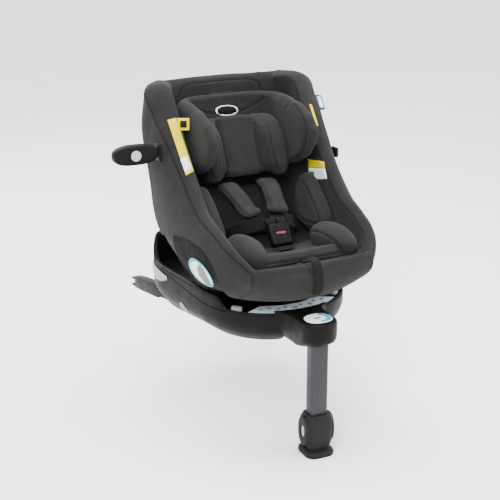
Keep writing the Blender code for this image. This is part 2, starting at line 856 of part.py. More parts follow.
def arc_block(name, radius_in, radius_out, reach, half, flat_z, mat):
    """Two arcs about the recline axis in the YZ plane, extruded across; flat_z gives a flat underside."""
    ys = np.linspace(-reach, reach, 15)
    top = [(y, float(run_z(y, radius_in))) for y in ys]
    if flat_z is None:
        low = [(y, float(run_z(y, radius_out))) for y in ys[::-1]]
    else:
        low = [(reach, flat_z), (-reach, flat_z)]
    return prism(name, top + low, "X", -half, half, mat)


arc_block("recline_carriage", RUN_R + 0.0005, RUN_R + 0.0078, 0.085, 0.080, None, "shell")
arc_block("recline_cradle", RUN_R + 0.0086, 0.0, 0.092, 0.088, 0.0879, "shell")


def pod_socket(name, sign, height, y, z):
    """A shallow block on the seat's side that takes a pod."""
    return box(name, (POD_ROOT * sign + 0.0045 * sign, y, z), (0.009, 0.026, height), "shell", 0.003)


pod_socket("pod_socket_right", -1.0, 0.040, POD_Y, POD_Z)
pod_socket("pod_socket_left", 1.0, 0.024, POD_Y + 0.004, POD_PARK_Z)
pod_start = -POD_ROOT - 0.0094
pod_centre = (pod_start - POD_LEN / 2, POD_Z)
pod = prism(
    "impact_pod",
    oval(*pod_centre, POD_LEN / 2, POD_H / 2, 28, 2.7),
    "Y",
    POD_Y - POD_T / 2,
    POD_Y + POD_T / 2,
    "shell",
    0.007,
)
pod_face = Vector((pod_centre[0] - 0.002, POD_Y - POD_T / 2, POD_Z))
cut(pod, tube("pod_button_hole", pod_face, (0, -1, 0), 0.0125, 0.014, "shell"))
tube("pod_button", pod_face + Vector((0, 0.0004, 0)), (0, -1, 0), 0.0120, 0.0056, "pale", 0.001)

# ---------------------------------------------------------------- base


BASE_EDGE = np.array(
    [
        (0.000, -BASE_FRONT_Y),
        (0.070, -0.190),
        (0.125, -0.153),
        (0.160, -0.105),
        (0.177, -0.050),
        (0.185, 0.000),
        (0.192, 0.060),
        (0.198, 0.120),
        (0.199, 0.180),
        (0.186, 0.230),
        (0.150, 0.266),
        (0.090, 0.284),
        (0.000, 0.289),
    ]
)


def base_outline(phi):
    """Plan point of the base's outside at an angle from the front, going through +X."""
    turn = min(phi % (2 * math.pi), 2 * math.pi - phi % (2 * math.pi))
    knots = np.arctan2(BASE_EDGE[:, 0], -BASE_EDGE[:, 1])
    radius = curve(knots, np.linalg.norm(BASE_EDGE, axis=1)[:, None], turn)[0, 0]
    return radius * math.sin(phi), -radius * math.cos(phi)


PHI = np.linspace(0.0, 2 * math.pi, AROUND + 1)[:-1]
PLAN = np.array([base_outline(p) for p in PHI])
PLAN_R = np.linalg.norm(PLAN, axis=1)
TURN = np.degrees(np.minimum(PHI, 2 * math.pi - PHI))
SEAM_Z = 0.0770 + 0.026 * smooth(60, 150, TURN)
GROOVE = 1.0 - smooth(7, 11, TURN)
WALL_T = LIP_T + (BAND_T - LIP_T) * smooth(52, 61, TURN) + (BACK_WALL_T - BAND_T) * smooth(128, 148, TURN)
TOP_Z = (
    FRONT_TOP
    + (BAND_TOP - FRONT_TOP) * smooth(50, 61, TURN)
    + (WALL_TOP - BAND_TOP) * smooth(134, 146, TURN)
)


def ring(inset, z):
    """A loop round the base, set in from its outside by inset."""
    share = (PLAN_R - inset) / PLAN_R
    return np.column_stack([PLAN[:, 0] * share, PLAN[:, 1] * share, np.broadcast_to(z, (AROUND,))])


def flat_ring(radius, z):
    return np.column_stack([radius * np.sin(PHI), -radius * np.cos(PHI), np.full(AROUND, z)])


def base_tub():
    edge = 0.055
    outside = [
        flat_ring(0.075, 0.0),
        ring(edge, 0.028 * GROOVE),
        ring(edge - 0.025, 0.012 + 0.024 * GROOVE),
        ring(0.010, 0.031 + 0.019 * GROOVE),
        ring(0.001, 0.052 + 0.008 * GROOVE),
        ring(0.0, SEAM_Z),
    ]
    inside = [
        ring(TUB_T, SEAM_Z),
        ring(TUB_T + 0.001, 0.055 + 0.009 * GROOVE),
        ring(TUB_T + 0.010, 0.036 + 0.019 * GROOVE),
        ring(edge - 0.021, 0.018 + 0.024 * GROOVE),
        ring(edge + 0.004, TUB_T + 0.029 * GROOVE),
        flat_ring(0.073, TUB_T),
    ]
    return loft("base_tub", outside + inside, "base")


def base_top_cover():
    loops = [
        ring(TUB_T + 0.0025, SEAM_Z + GAP),
        ring(0.0004, SEAM_Z + GAP),
        ring(0.0008, TOP_Z - 0.006),
        ring(0.0035, TOP_Z - 0.0012),
        ring(WALL_T * 0.44, TOP_Z),
        ring(WALL_T * 0.78, TOP_Z - 0.0012),
        ring(WALL_T, np.maximum(TOP_Z - 0.006, DECK_Z + 0.0015)),
        ring(WALL_T + 0.001, DECK_Z),
        flat_ring(HUB_R, DECK_Z),
        flat_ring(HUB_R, DECK_Z - DECK_T),
        ring(TUB_T + 0.0025, DECK_Z - DECK_T),
    ]
    return loft("base_top_cover", loops, "band", ends="ring")


def release_body(name, sign, grow, low, high, mat):
    """An oval block square to the tub's flank, from low to high along the flank's outward normal."""
    angle = RELEASE_TURN * sign
    frame = Matrix.Rotation(angle, 3, "Z") @ Matrix.Rotation(RELEASE_TILT, 3, "X")
    centre = Vector((RELEASE_R * math.sin(angle), -RELEASE_R * math.cos(angle), RELEASE_Z))
    flat = oval(0.0, 0.0, 0.0130 + grow, 0.0155 + grow, 24, 2.2)
    loops = [[centre + frame @ Vector((a, -level, b)) for a, b in flat] for level in (low, high)]
    return loft(name, loops, mat, ends="flat")


tub = base_tub()
top_cover = base_top_cover()

for side, sign in (("left", 1), ("right", -1)):
    angle = math.radians(46) * sign
    spot = Vector((BUTTON_R * math.sin(angle), -BUTTON_R * math.cos(angle), 0.0))
    turn = Matrix.Rotation(angle, 3, "Z")

    def button_outline(grow):
        flat = oval(0.0, 0.0, 0.0130 + grow, 0.0085 + grow, 20, 2.4)
        return [tuple((spot + turn @ Vector((a, b, 0.0)))[:2]) for a, b in flat]

    hole = prism(f"rotation_hole_{side}", button_outline(0.0005), "Z", DECK_Z - 0.02, DECK_Z + 0.001, "band")
    cut(top_cover, hole)
    button = (DECK_Z - 0.004, DECK_Z + 0.0085)
    prism(f"rotation_button_{side}", button_outline(0.0), "Z", *button, "pale", 0.0012)

    cut(tub, release_body(f"release_hole_{side}", sign, 0.0005, -0.0130, 0.0120, "base"))
    shape(release_body(f"isofix_release_{side}", sign, 0.0, -0.0070, 0.0010, "pale"), 0.0015)

    slope = Matrix.Rotation(-ISO_SLOPE, 3, "X")
    root = Vector((ISO_X * sign, ISO_ROOT_Y, ISO_ROOT_Z))
    middle = root - slope @ Vector((0, 0.070, 0))
    cut(tub, box(f"isofix_channel_{side}", middle, (0.0300, 0.2800, 0.0370), "base", 0.0, slope))

for side, sign in (("left", 1), ("right", -1)):
    chosen = [k for k in range(AROUND) if 119 <= TURN[k] <= 145 and (PHI[k] < math.pi) == (sign > 0)]
    strip = []
    for number, k in enumerate(chosen):
        share = number / (len(chosen) - 1)
        high = SEAM_Z[k] - 0.004
        low = high - 0.030 * (0.30 + 0.70 * math.sin(math.pi * share))
        near, far = [PLAN[k] * (1 + lift / PLAN_R[k]) for lift in (0.0006, 0.0026)]
        strip.append([(*near, low), (*far, low), (*far, high), (*near, high)])
    loft(f"rear_trim_{side}", strip, "mid")


def deck_label():
    """A thin curved label plate let into the deck in front of the turntable."""
    low, high, ends = 0.1425, 0.1905, 0.1865
    outer = np.radians(np.linspace(-37, 37, 25))
    inner = np.radians(np.linspace(29, -29, 21))
    reach = high + (ends - high) * (outer / outer[-1]) ** 2
    outline = [(r * math.sin(a), -r * math.cos(a)) for r, a in zip(reach, outer)]
    outline += [(low * math.sin(a), -low * math.cos(a)) for a in inner]
    return prism("deck_label", outline, "Z", DECK_Z + 0.0005, DECK_Z + 0.0015, "label")


deck_label()


def turned(name, profile, mat, sides=48):
    """A solid of revolution about the seat's axis; profile runs from the bottom centre to the top centre."""
    loops = []
    angles = np.linspace(0, 2 * math.pi, sides + 1)[:-1]
    for r, z in profile:
        loops.append([(r * math.sin(a), -r * math.cos(a), z) for a in angles])
    return loft(name, loops, mat)


turned(
    "turntable",
    [
        (0.060, 0.0560),
        (0.112, 0.0560),
        (0.118, 0.0600),
        (0.118, 0.0795),
        (0.132, 0.0795),
        (0.132, 0.0860),
        (0.129, 0.0875),
    ],
    "shell",
)
box("rotation_latch", (0.0, -0.1360, 0.0815), (0.030, 0.0050, 0.0060), "mid", 0.001)

# ---------------------------------------------------------------- ISOFIX arms

for side, sign in (("left", 1), ("right", -1)):
    slope = Matrix.Rotation(-ISO_SLOPE, 3, "X")
    root = Vector((ISO_X * sign, ISO_ROOT_Y, ISO_ROOT_Z))

    def slanted(points):
        """YZ outline from distances along and across the arm."""
        out = []
        for along, across in points:
            p = slope @ Vector((0.0, along, across))
            out.append((root.y + p.y, root.z + p.z))
        return out

    body = slanted(
        [
            (0.000, -0.0165),
            (0.115, -0.0165),
            (0.150, -0.0150),
            (0.186, -0.0120),
            (0.190, -0.0060),
            (0.165, -0.0060),
            (0.165, 0.0060),
            (0.190, 0.0060),
            (0.186, 0.0120),
            (0.150, 0.0150),
            (0.115, 0.0165),
            (0.000, 0.0165),
            (0.000, 0.0110),
            (-0.160, 0.0110),
            (-0.160, -0.0110),
            (0.000, -0.0110),
        ]
    )
    prism(f"isofix_arm_{side}", body, "X", root.x - 0.0125, root.x + 0.0125, "shell", 0.0015)
    hook = slanted(
        [
            (0.120, -0.006),
            (0.160, -0.010),
            (0.186, -0.010),
            (0.184, 0.002),
            (0.178, 0.002),
            (0.176, -0.004),
            (0.160, -0.003),
            (0.140, 0.006),
            (0.120, 0.006),
        ]
    )
    x0, x1 = sorted((root.x - 0.0131 * sign, root.x - 0.0161 * sign))
    prism(f"isofix_latch_{side}", hook, "X", x0, x1, "steel")

# ---------------------------------------------------------------- support leg


def leg_housing():
    """The nose that carries the leg: a round boss that flares into the base."""
    angles = np.radians(np.linspace(-17, 17, 11))
    front = [np.array(base_outline(a)) * (1 + 0.0006 / BASE_FRONT_Y) for a in angles]
    boss = [(0.0420 * math.cos(a), LEG_Y - 0.0420 * math.sin(a)) for a in np.linspace(0.0, math.pi, 19)]
    flare = [(0.0560, -0.2130), (0.0460, -0.2360)]
    outline = [tuple(p) for p in front] + flare + boss + [(-x, y) for x, y in flare[::-1]]
    body = prism("leg_housing", outline, "Z", 0.0460, 0.0880, "band", 0.0045)
    room = box("leg_room", (0.0, LEG_Y + 0.034, 0.0593), (LEG_W + 0.003, 0.110, 0.0430), "band")
    return cut(body, room)


leg_housing()
prism("leg_window", oval(0.0, LEG_Y, 0.0340, 0.0290, 28, 2.3), "Z", 0.0885, 0.0900, "window")


def bar_loop(width, depth, z, radius=0.006):
    """A rounded rectangle round the leg's axis."""
    points = []
    for cx, cy, start in (
        (width / 2 - radius, depth / 2 - radius, 0),
        (-width / 2 + radius, depth / 2 - radius, 90),
        (-width / 2 + radius, -depth / 2 + radius, 180),
        (width / 2 - radius, -depth / 2 + radius, 270),
    ):
        for k in range(4):
            a = math.radians(start + 30 * k)
            points.append((cx + radius * math.cos(a), LEG_Y + cy + radius * math.sin(a), z))
    return points


loft(
    "leg_upper_tube",
    [
        bar_loop(LEG_W - 0.003, LEG_D - 0.012, LEG_PIVOT_Z + 0.0125, 0.005),
        bar_loop(LEG_W, LEG_D, LEG_PIVOT_Z + 0.0020),
        bar_loop(LEG_W, LEG_D, CLAMP_BOTTOM_Z + 0.001),
        bar_loop(LEG_W - 0.005, LEG_D - 0.005, CLAMP_BOTTOM_Z + 0.001, 0.0045),
        bar_loop(LEG_W - 0.005, LEG_D - 0.005, LEG_PIVOT_Z - 0.030, 0.0045),
    ],
    "leg",
)
clamp = loft(
    "leg_clamp",
    [
        bar_loop(0.052, 0.044, CLAMP_TOP_Z, 0.010),
        bar_loop(0.064, 0.054, CLAMP_TOP_Z - 0.010, 0.014),
        bar_loop(0.066, 0.058, CLAMP_TOP_Z - 0.032, 0.016),
        bar_loop(0.062, 0.056, CLAMP_BOTTOM_Z + 0.016, 0.014),
        bar_loop(0.054, 0.050, CLAMP_BOTTOM_Z, 0.011),
        bar_loop(LEG_W + 0.0008, LEG_D + 0.0008, CLAMP_BOTTOM_Z, 0.0062),
        bar_loop(LEG_W + 0.0008, LEG_D + 0.0008, CLAMP_TOP_Z, 0.0062),
    ],
    "shell",
    ends="ring",
)
for side, sign in (("left", 1), ("right", -1)):
    ring_points = [(LEG_Y + a, -0.176 + b) for a, b in oval(0.0, 0.0, 0.0085, 0.0145, 20, 2.4)]
    wide = [(LEG_Y + a, -0.176 + b) for a, b in oval(0.0, 0.0, 0.0090, 0.0150, 20, 2.4)]
    x0, x1 = sorted((0.0262 * sign, 0.040 * sign))
    cut(clamp, prism(f"leg_button_hole_{side}", wide, "X", x0, x1, "shell"))
    x0, x1 = sorted((0.0292 * sign, 0.0335 * sign))
    prism(f"leg_button_{side}", ring_points, "X", x0, x1, "pale", 0.001)
loft(
    "leg_inner_tube",
    [
        bar_loop(LEG_W - 0.0062, LEG_D - 0.0062, 0.000, 0.004),
        bar_loop(LEG_W - 0.0062, LEG_D - 0.0062, FOOT_TOP_Z + 0.0004, 0.004),
    ],
    "leg",
)
loft(
    "leg_foot",
    [
        bar_loop(0.052, 0.050, FOOT_TOP_Z - 0.0006, 0.012),
        bar_loop(0.058, 0.056, FOOT_TOP_Z - 0.006, 0.014),
        bar_loop(0.068, 0.070, FOOT_BOTTOM_Z + 0.009, 0.020),
        bar_loop(0.070, 0.072, FOOT_BOTTOM_Z + 0.0034, 0.021),
    ],
    "shell",
)
loft(
    "leg_sole",
    [
        bar_loop(0.070, 0.072, FOOT_BOTTOM_Z + 0.0030, 0.021),
        bar_loop(0.068, 0.070, FOOT_BOTTOM_Z, 0.020),
    ],
    "rubber",
)
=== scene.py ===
"""Looks for the child car seat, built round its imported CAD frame. Metres, +Z up, the seat faces -Y."""

import json
import math

import bmesh
import bpy
import numpy as np
from mathutils import Matrix, Vector
from mathutils.bvhtree import BVHTree

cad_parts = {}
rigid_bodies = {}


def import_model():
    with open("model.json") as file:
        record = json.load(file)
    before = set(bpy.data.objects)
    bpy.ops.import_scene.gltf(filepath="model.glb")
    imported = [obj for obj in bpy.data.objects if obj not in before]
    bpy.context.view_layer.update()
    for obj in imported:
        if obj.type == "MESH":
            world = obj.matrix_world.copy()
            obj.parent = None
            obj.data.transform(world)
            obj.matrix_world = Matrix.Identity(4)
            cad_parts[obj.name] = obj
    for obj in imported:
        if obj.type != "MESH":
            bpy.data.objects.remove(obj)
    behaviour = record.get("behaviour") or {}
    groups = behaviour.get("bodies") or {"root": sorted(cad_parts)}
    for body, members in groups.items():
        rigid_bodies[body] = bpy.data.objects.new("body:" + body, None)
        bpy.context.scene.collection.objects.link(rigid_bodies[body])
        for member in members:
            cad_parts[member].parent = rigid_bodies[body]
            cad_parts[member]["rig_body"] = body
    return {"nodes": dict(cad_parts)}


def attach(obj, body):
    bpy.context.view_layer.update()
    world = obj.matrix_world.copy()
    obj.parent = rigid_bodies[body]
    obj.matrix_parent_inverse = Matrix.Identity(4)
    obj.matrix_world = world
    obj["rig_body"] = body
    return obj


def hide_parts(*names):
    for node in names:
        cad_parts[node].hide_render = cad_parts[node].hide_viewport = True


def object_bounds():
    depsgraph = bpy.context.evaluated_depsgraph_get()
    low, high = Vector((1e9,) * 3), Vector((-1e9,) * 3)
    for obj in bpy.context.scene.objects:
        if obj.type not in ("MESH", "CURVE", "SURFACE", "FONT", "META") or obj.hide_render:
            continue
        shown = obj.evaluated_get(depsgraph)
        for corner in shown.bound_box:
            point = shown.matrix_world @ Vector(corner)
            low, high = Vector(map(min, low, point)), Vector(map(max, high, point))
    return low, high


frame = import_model()
CAD_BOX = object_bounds()
NODES = frame["nodes"]
SIDES = (("left", 1), ("right", -1))

# ---------------------------------------------------------------- camera, light, floor

CAMERA_AT = Vector((-1.1969, -2.3861, 1.0630))
CAMERA_BACK = Vector((-0.4155, -0.8519, 0.3190))
camera = bpy.data.objects.new("camera", bpy.data.cameras.new("camera"))
camera.data.lens = 86.04
camera.data.sensor_width = 36.0
camera.location = CAMERA_AT
camera.rotation_euler = CAMERA_BACK.to_track_quat("Z", "Y").to_euler()
bpy.context.scene.collection.objects.link(camera)
bpy.context.scene.camera = camera


def area_light(name, at, target, size, power):
    light = bpy.data.objects.new(name, bpy.data.lights.new(name, "AREA"))
    light.data.shape = "DISK"
    light.data.size = size
    light.data.energy = power
    light.location = at
    light.rotation_euler = (Vector(at) - Vector(target)).to_track_quat("Z", "Y").to_euler()
    bpy.context.scene.collection.objects.link(light)


MIDDLE_OF_SEAT = (0.0, 0.0, 0.25)
area_light("key", (-1.5, -1.9, 2.3), MIDDLE_OF_SEAT, 1.6, 120.0)
area_light("fill", (2.2, -1.6, 1.2), MIDDLE_OF_SEAT, 1.8, 55.0)
area_light("top", (0.1, 0.3, 2.6), MIDDLE_OF_SEAT, 1.6, 90.0)
area_light("back", (-0.6, 2.4, 1.6), MIDDLE_OF_SEAT, 1.6, 55.0)

world = bpy.data.worlds.new("studio")
world.use_nodes = True
world.node_tree.nodes["Background"].inputs["Color"].default_value = (1.0, 1.0, 1.0, 1.0)
world.node_tree.nodes["Background"].inputs["Strength"].default_value = 2.3
bpy.context.scene.world = world

# ---------------------------------------------------------------- materials


class Nodes:
    """Short names for building one material's node tree."""

    def __init__(self, name, rough, metal=0.0, sheen=0.0, coat=0.0, specular=0.5):
        self.mat = bpy.data.materials.new(name)
        self.mat.use_nodes = True
        self.tree = self.mat.node_tree
        self.shader = self.tree.nodes["Principled BSDF"]
        settings = {
            "Roughness": rough,
            "Metallic": metal,
            "Sheen Weight": sheen,
            "Sheen Roughness": 0.6,
            "Coat Weight": coat,
            "Specular IOR Level": specular,
        }
        for key, value in settings.items():
            self.shader.inputs[key].default_value = value
        self.place = self.node("ShaderNodeTexCoord").outputs["Object"]

    def join(self, socket, value):
        """Links another node's output to a socket, or gives the socket a value of its own."""
        if isinstance(value, bpy.types.NodeSocket):
            self.tree.links.new(value, socket)
        else:
            socket.default_value = value

    def node(self, kind, **inputs):
        made = self.tree.nodes.new(kind)
        for key, value in inputs.items():
            self.join(made.inputs[key.replace("_", " ")], value)
        return made

    def noise(self, scale, detail=3.0, rough=0.5):
        made = self.node("ShaderNodeTexNoise", Vector=self.place, Scale=scale, Detail=detail, Roughness=rough)
        return made.outputs["Fac"]

    def cells(self, scale):
        return self.node("ShaderNodeTexVoronoi", Vector=self.place, Scale=scale).outputs["Distance"]

    def math(self, operation, a, b):
        made = self.tree.nodes.new("ShaderNodeMath")
        made.operation = operation
        self.join(made.inputs[0], a)
        self.join(made.inputs[1], b)
        return made.outputs[0]

    def ramp(self, factor, stops):
        made = self.node("ShaderNodeValToRGB", Fac=factor)
        while len(made.color_ramp.elements) < len(stops):
            made.color_ramp.elements.new(0.5)
        for element, (place, colour) in zip(made.color_ramp.elements, stops):
            element.position = place
            element.color = (*colour, 1.0)
        return made.outputs["Color"]

    def bump(self, height, depth, strength=1.0, under=None):
        made = self.node("ShaderNodeBump", Height=height, Distance=depth, Strength=strength)
        if under is not None:
            self.tree.links.new(under, made.inputs["Normal"])
        return made.outputs["Normal"]

    def finish(self, colour=None, normal=None, rough=None):
        for value, name in ((colour, "Base Color"), (normal, "Normal"), (rough, "Roughness")):
            if value is not None:
                self.tree.links.new(value, self.shader.inputs[name])
        return self.mat


def tint(colour, share):
    """A lighter or darker shade of a colour."""
    return tuple(min(1.0, c * share) for c in colour)


KNIT_RELIEF = 0.0005
CREASE_RELIEF = 0.0012


def fabric(name, colour, cell, spread=0.22):
    """Fine melange knit: light and dark fibres over a raised cell pattern."""
    made = Nodes(name, 0.95, sheen=0.035, specular=0.10)
    fine = made.math("MULTIPLY", made.noise(620.0, 2.0), 0.62)
    broad = made.math("MULTIPLY", made.noise(34.0), 0.38)
    stops = [(0.34, tint(colour, 1 - spread)), (0.5, colour), (0.66, tint(colour, 1 + 1.5 * spread))]
    shade = made.ramp(made.math("ADD", fine, broad), stops)
    knit = made.bump(made.cells(1.0 / cell), KNIT_RELIEF, 0.7)
    return made.finish(shade, made.bump(made.noise(90.0), CREASE_RELIEF, 0.25, knit))


def plastic(name, colour, rough=0.5, grain=0.00012, spread=0.08, coat=0.0):
    """Moulded plastic with a spark-eroded grain and slight scuffing."""
    made = Nodes(name, rough, coat=coat, specular=0.07)
    shade = made.ramp(made.noise(18.0), [(0.3, tint(colour, 1 - spread)), (0.7, tint(colour, 1 + spread))])
    scuffs = [(0.35, (rough - 0.06,) * 3), (0.7, (min(1.0, rough + 0.10),) * 3)]
    wear = made.ramp(made.noise(55.0, 5.0, 0.65), scuffs)
    return made.finish(shade, made.bump(made.noise(1500.0, 2.0), grain, 0.8), wear)


def metal(name, colour, rough, stretch):
    """Metal with fine lines drawn along one direction."""
    made = Nodes(name, rough, metal=1.0)
    mapping = made.node("ShaderNodeMapping", Vector=made.place)
    mapping.inputs["Scale"].default_value = stretch
    noise = made.node("ShaderNodeTexNoise", Vector=mapping.outputs["Vector"], Scale=900.0, Detail=2.0)
    lines = noise.outputs["Fac"]
    shade = made.ramp(lines, [(0.35, tint(colour, 0.90)), (0.65, tint(colour, 1.10))])
    finish = made.ramp(made.noise(40.0, 4.0), [(0.35, (rough - 0.05,) * 3), (0.7, (rough + 0.09,) * 3)])
    return made.finish(shade, made.bump(lines, 0.00004, 0.5), finish)


def webbing(name, colour):
    """Belt webbing: herringbone ribs along the strap."""
    made = Nodes(name, 0.72, sheen=0.01, specular=0.08)
    ribs = made.node("ShaderNodeTexWave", Vector=made.place, Scale=260.0, Distortion=1.5, Detail=1.0)
    ribs.bands_direction = "DIAGONAL"
    shade = made.ramp(made.noise(420.0), [(0.35, tint(colour, 0.75)), (0.65, tint(colour, 1.35))])
    return made.finish(shade, made.bump(ribs.outputs["Fac"], 0.0004, 0.6))


FABRIC = fabric("charcoal_fabric", (0.0108, 0.0101, 0.0099), 0.0013)
INSERT = fabric("insert_fabric", (0.0122, 0.0115, 0.0115), 0.0015)
# Darker than the fabric: real piping cord on the insert's lip, and painted shade along every seam groove.
PIPING_AND_SEAM_SHADE = fabric("piping_and_seam_shade_fabric", (0.0030, 0.0028, 0.0028), 0.0010, 0.15)
BELT = webbing("webbing", (0.0036, 0.0035, 0.0036))
SHELL = plastic("shell_plastic", (0.0022, 0.0020, 0.0019), 0.58)
DARK = plastic("dark_plastic", (0.0040, 0.0040, 0.0040), 0.46)
HULL = plastic("base_plastic", (0.0036, 0.0036, 0.0034), 0.46, 0.00016)
BAND = plastic("band_plastic", (0.0034, 0.0033, 0.0030), 0.44, 0.00016)
PALE = plastic("pale_plastic", (0.30, 0.30, 0.30), 0.42)
CLAMP = plastic("clamp_plastic", (0.0100, 0.0100, 0.0105), 0.44)
MID = plastic("mid_grey_plastic", (0.014, 0.014, 0.014), 0.48)
FOAM = plastic("liner_foam", (0.008, 0.008, 0.008), 0.85, 0.0006)
RUBBER = plastic("sole_rubber", (0.004, 0.004, 0.004), 0.80, 0.0003)
RED = plastic("release_red", (0.16, 0.010, 0.028), 0.42, 0.00005, 0.05, 0.2)
LEG = metal("leg_aluminium", (0.040, 0.041, 0.044), 0.48, (1.0, 1.0, 0.04))
STEEL = metal("latch_steel", (0.30, 0.30, 0.31), 0.32, (1.0, 0.08, 1.0))
WHITE = plastic("label_white", (0.62, 0.68, 0.71), 0.45, 0.00002, 0.03, 0.1)
CYAN = plastic("label_blue", (0.035, 0.26, 0.38), 0.45, 0.00002, 0.05, 0.1)
YELLOW = plastic("label_yellow", (0.54, 0.44, 0.001), 0.55, 0.00005, 0.08)
GREEN = plastic("label_green", (0.010, 0.12, 0.040), 0.50, 0.00005, 0.08)
DEEP_BLUE = plastic("label_deep_blue", (0.008, 0.045, 0.17), 0.50, 0.00005, 0.08)
# Near-black dots: painted shade inside the shell's perforation holes.
PERFORATION_SHADE = plastic("perforation_shade", (0.0006, 0.0006, 0.0006), 0.8)
SKY = plastic("label_sky", (0.28, 0.56, 0.70), 0.5, 0.00002, 0.03, 0.05)
# The deck label's white, made paler than WHITE as painted light that offsets the seat's shadow on the deck.
LABEL_WITH_PAINTED_LIGHT = plastic("label_white_painted_light", (0.88, 0.93, 0.96), 0.5, 0.00002, 0.03, 0.05)
FLAP = plastic("label_beige", (0.17, 0.16, 0.15), 0.60, 0.0002, 0.10)

floor_material = Nodes("studio_floor", 0.9, specular=0.2)
floor_stops = [(0.0, (0.90, 0.90, 0.90)), (1.0, (0.93, 0.93, 0.93))]
floor_shade = floor_material.ramp(floor_material.noise(3.0), floor_stops)
floor_mesh = bpy.data.meshes.new("floor")
FLOOR_Z = CAD_BOX[0].z - 0.0005
floor_mesh.from_pydata([(x, y, FLOOR_Z) for x, y in ((-9, -9), (9, -9), (9, 9), (-9, 9))], [], [(0, 1, 2, 3)])
floor = bpy.data.objects.new("floor", floor_mesh)
floor_mesh.materials.append(floor_material.finish(floor_shade))
bpy.context.scene.collection.objects.link(floor)

# ---------------------------------------------------------------- mesh helpers


def cubic(f, span, a, b, slope_a, slope_b):
    """The point at share f between a and b on the cubic that has the given slopes there."""
    return (
        (2 * f**3 - 3 * f**2 + 1) * a
        + (f**3 - 2 * f**2 + f) * span * slope_a
        + (3 * f**2 - 2 * f**3) * b
        + (f**3 - f**2) * span * slope_b
    )


def mm(rows):
    """A table of millimetres as metres."""
    return np.array(rows) / 1000.0


def curve(ts, points, t):
    """A smooth curve through points given at the parameters ts."""
    points = np.asarray(points, float)
    ts = np.asarray(ts, float)
    slopes = np.gradient(points, ts, axis=0)
    t = np.clip(np.atleast_1d(np.asarray(t, float)), ts[0], ts[-1])
    k = np.clip(np.searchsorted(ts, t, side="right") - 1, 0, len(ts) - 2)
    span = (ts[k + 1] - ts[k]).reshape((-1,) + (1,) * (points.ndim - 1))
    f = (t - ts[k]).reshape(span.shape) / span
    return cubic(f, span, points[k], points[k + 1], slopes[k], slopes[k + 1])


def smooth(low, high, value):
    """A soft step from 0 to 1 between two values."""
    f = np.clip((np.asarray(value, float) - low) / (high - low), 0.0, 1.0)
    return f * f * (3 - 2 * f)


def unit(v):
    """Vectors scaled to length 1."""
    v = np.asarray(v, float)
    return v / np.maximum(np.linalg.norm(v, axis=-1, keepdims=True), 1e-12)


def rework(mesh, change):
    """Changes a mesh through an editable copy of it."""
    work = bmesh.new()
    work.from_mesh(mesh)
    change(work)
    work.to_mesh(mesh)
    work.free()


def close_up(work):
    """Joins doubled points, turns the faces outwards and shades them smooth."""
    bmesh.ops.remove_doubles(work, verts=work.verts, dist=1e-5)
    bmesh.ops.recalc_face_normals(work, faces=work.faces)
    for face in work.faces:
        face.smooth = True


def put(name, verts, faces, mat):
    """One smooth-shaded piece from points and faces."""
    mesh = bpy.data.meshes.new(name)
    mesh.from_pydata([tuple(map(float, v)) for v in verts], [], [tuple(map(int, f)) for f in faces])
    rework(mesh, close_up)
    obj = bpy.data.objects.new(name, mesh)
    bpy.context.scene.collection.objects.link(obj)
    mesh.materials.append(mat)
    return obj


def settle(obj, body, hides=()):
    """Says which body a piece rides on and which CAD nodes it stands for."""
    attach(obj, body)
    if hides:
        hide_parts(*hides)
    return obj


def vectors(mesh, what="co"):
    """One vector of each vertex: its place, or its normal."""
    values = np.empty(len(mesh.vertices) * 3)
    mesh.vertices.foreach_get(what, values)
    return values.reshape(-1, 3)


def set_points(obj, co):
    obj.data.vertices.foreach_set("co", np.asarray(co, float).ravel())
    obj.data.update()


def apply(obj, kind, **settings):
    """Adds a modifier and puts its result into the mesh."""
    mod = obj.modifiers.new(kind.lower(), kind)
    for key, value in settings.items():
        setattr(mod, key, value)
    graph = bpy.context.evaluated_depsgraph_get()
    mesh = bpy.data.meshes.new_from_object(obj.evaluated_get(graph))
    old = obj.data
    obj.modifiers.clear()
    obj.data = mesh
    bpy.data.meshes.remove(old)
    for poly in obj.data.polygons:
        poly.use_smooth = True
    return obj


def lofted(loops, ring=False):
    """Points and faces through closed loops of equal length; a ring runs on from the last to the first."""
    loops = [np.asarray(loop, float) for loop in loops]
    count = len(loops[0])
    rows = len(loops)
    faces = []
    for i in range(rows if ring else rows - 1):
        a, b = i * count, ((i + 1) % rows) * count
        for k in range(count):
            n = (k + 1) % count
            faces.append((a + k, a + n, b + n, b + k))
    if not ring:
        faces += [tuple(range(count))[::-1], tuple(range((rows - 1) * count, rows * count))]
    return np.concatenate(loops), faces


def tube(path, radius, sides=6):
    """Points and faces of a round cord along a path."""
    along = unit(np.gradient(path, axis=0))
    side = np.cross(along[0], (0.3, 0.2, 0.9))
    angles = np.linspace(0, 2 * math.pi, sides + 1)[:-1]
    loops = []
    for p, a in zip(path, along):
        side = unit(side - a * np.dot(side, a))
        up = np.cross(a, side)
        loops.append([p + radius * (math.cos(q) * side + math.sin(q) * up) for q in angles])
    return lofted(loops)


def closed(path):
    """A path that ends where it starts."""
    return np.vstack([path, path[:1]])


def run_along(path):
    """The length of a path from its start to each of its points."""
    return np.concatenate([[0.0], np.cumsum(np.linalg.norm(np.diff(path, axis=0), axis=1))])


def resample(path, step):
    """Evenly spaced points along a path."""
    path = np.asarray(path, float)
    run = run_along(path)
    count = max(2, int(round(run[-1] / step)) + 1)
    want = np.linspace(0, run[-1], count)
    return np.column_stack([np.interp(want, run, path[:, i]) for i in range(3)])


def spline(points, step=0.004):
    """A smooth path through a few points."""
    points = np.asarray(points, float)
    run = run_along(points)
    return resample(curve(run, points, np.linspace(0, run[-1], 60)), step)


SEAM_REACH = 0.03
BATCH = 4000


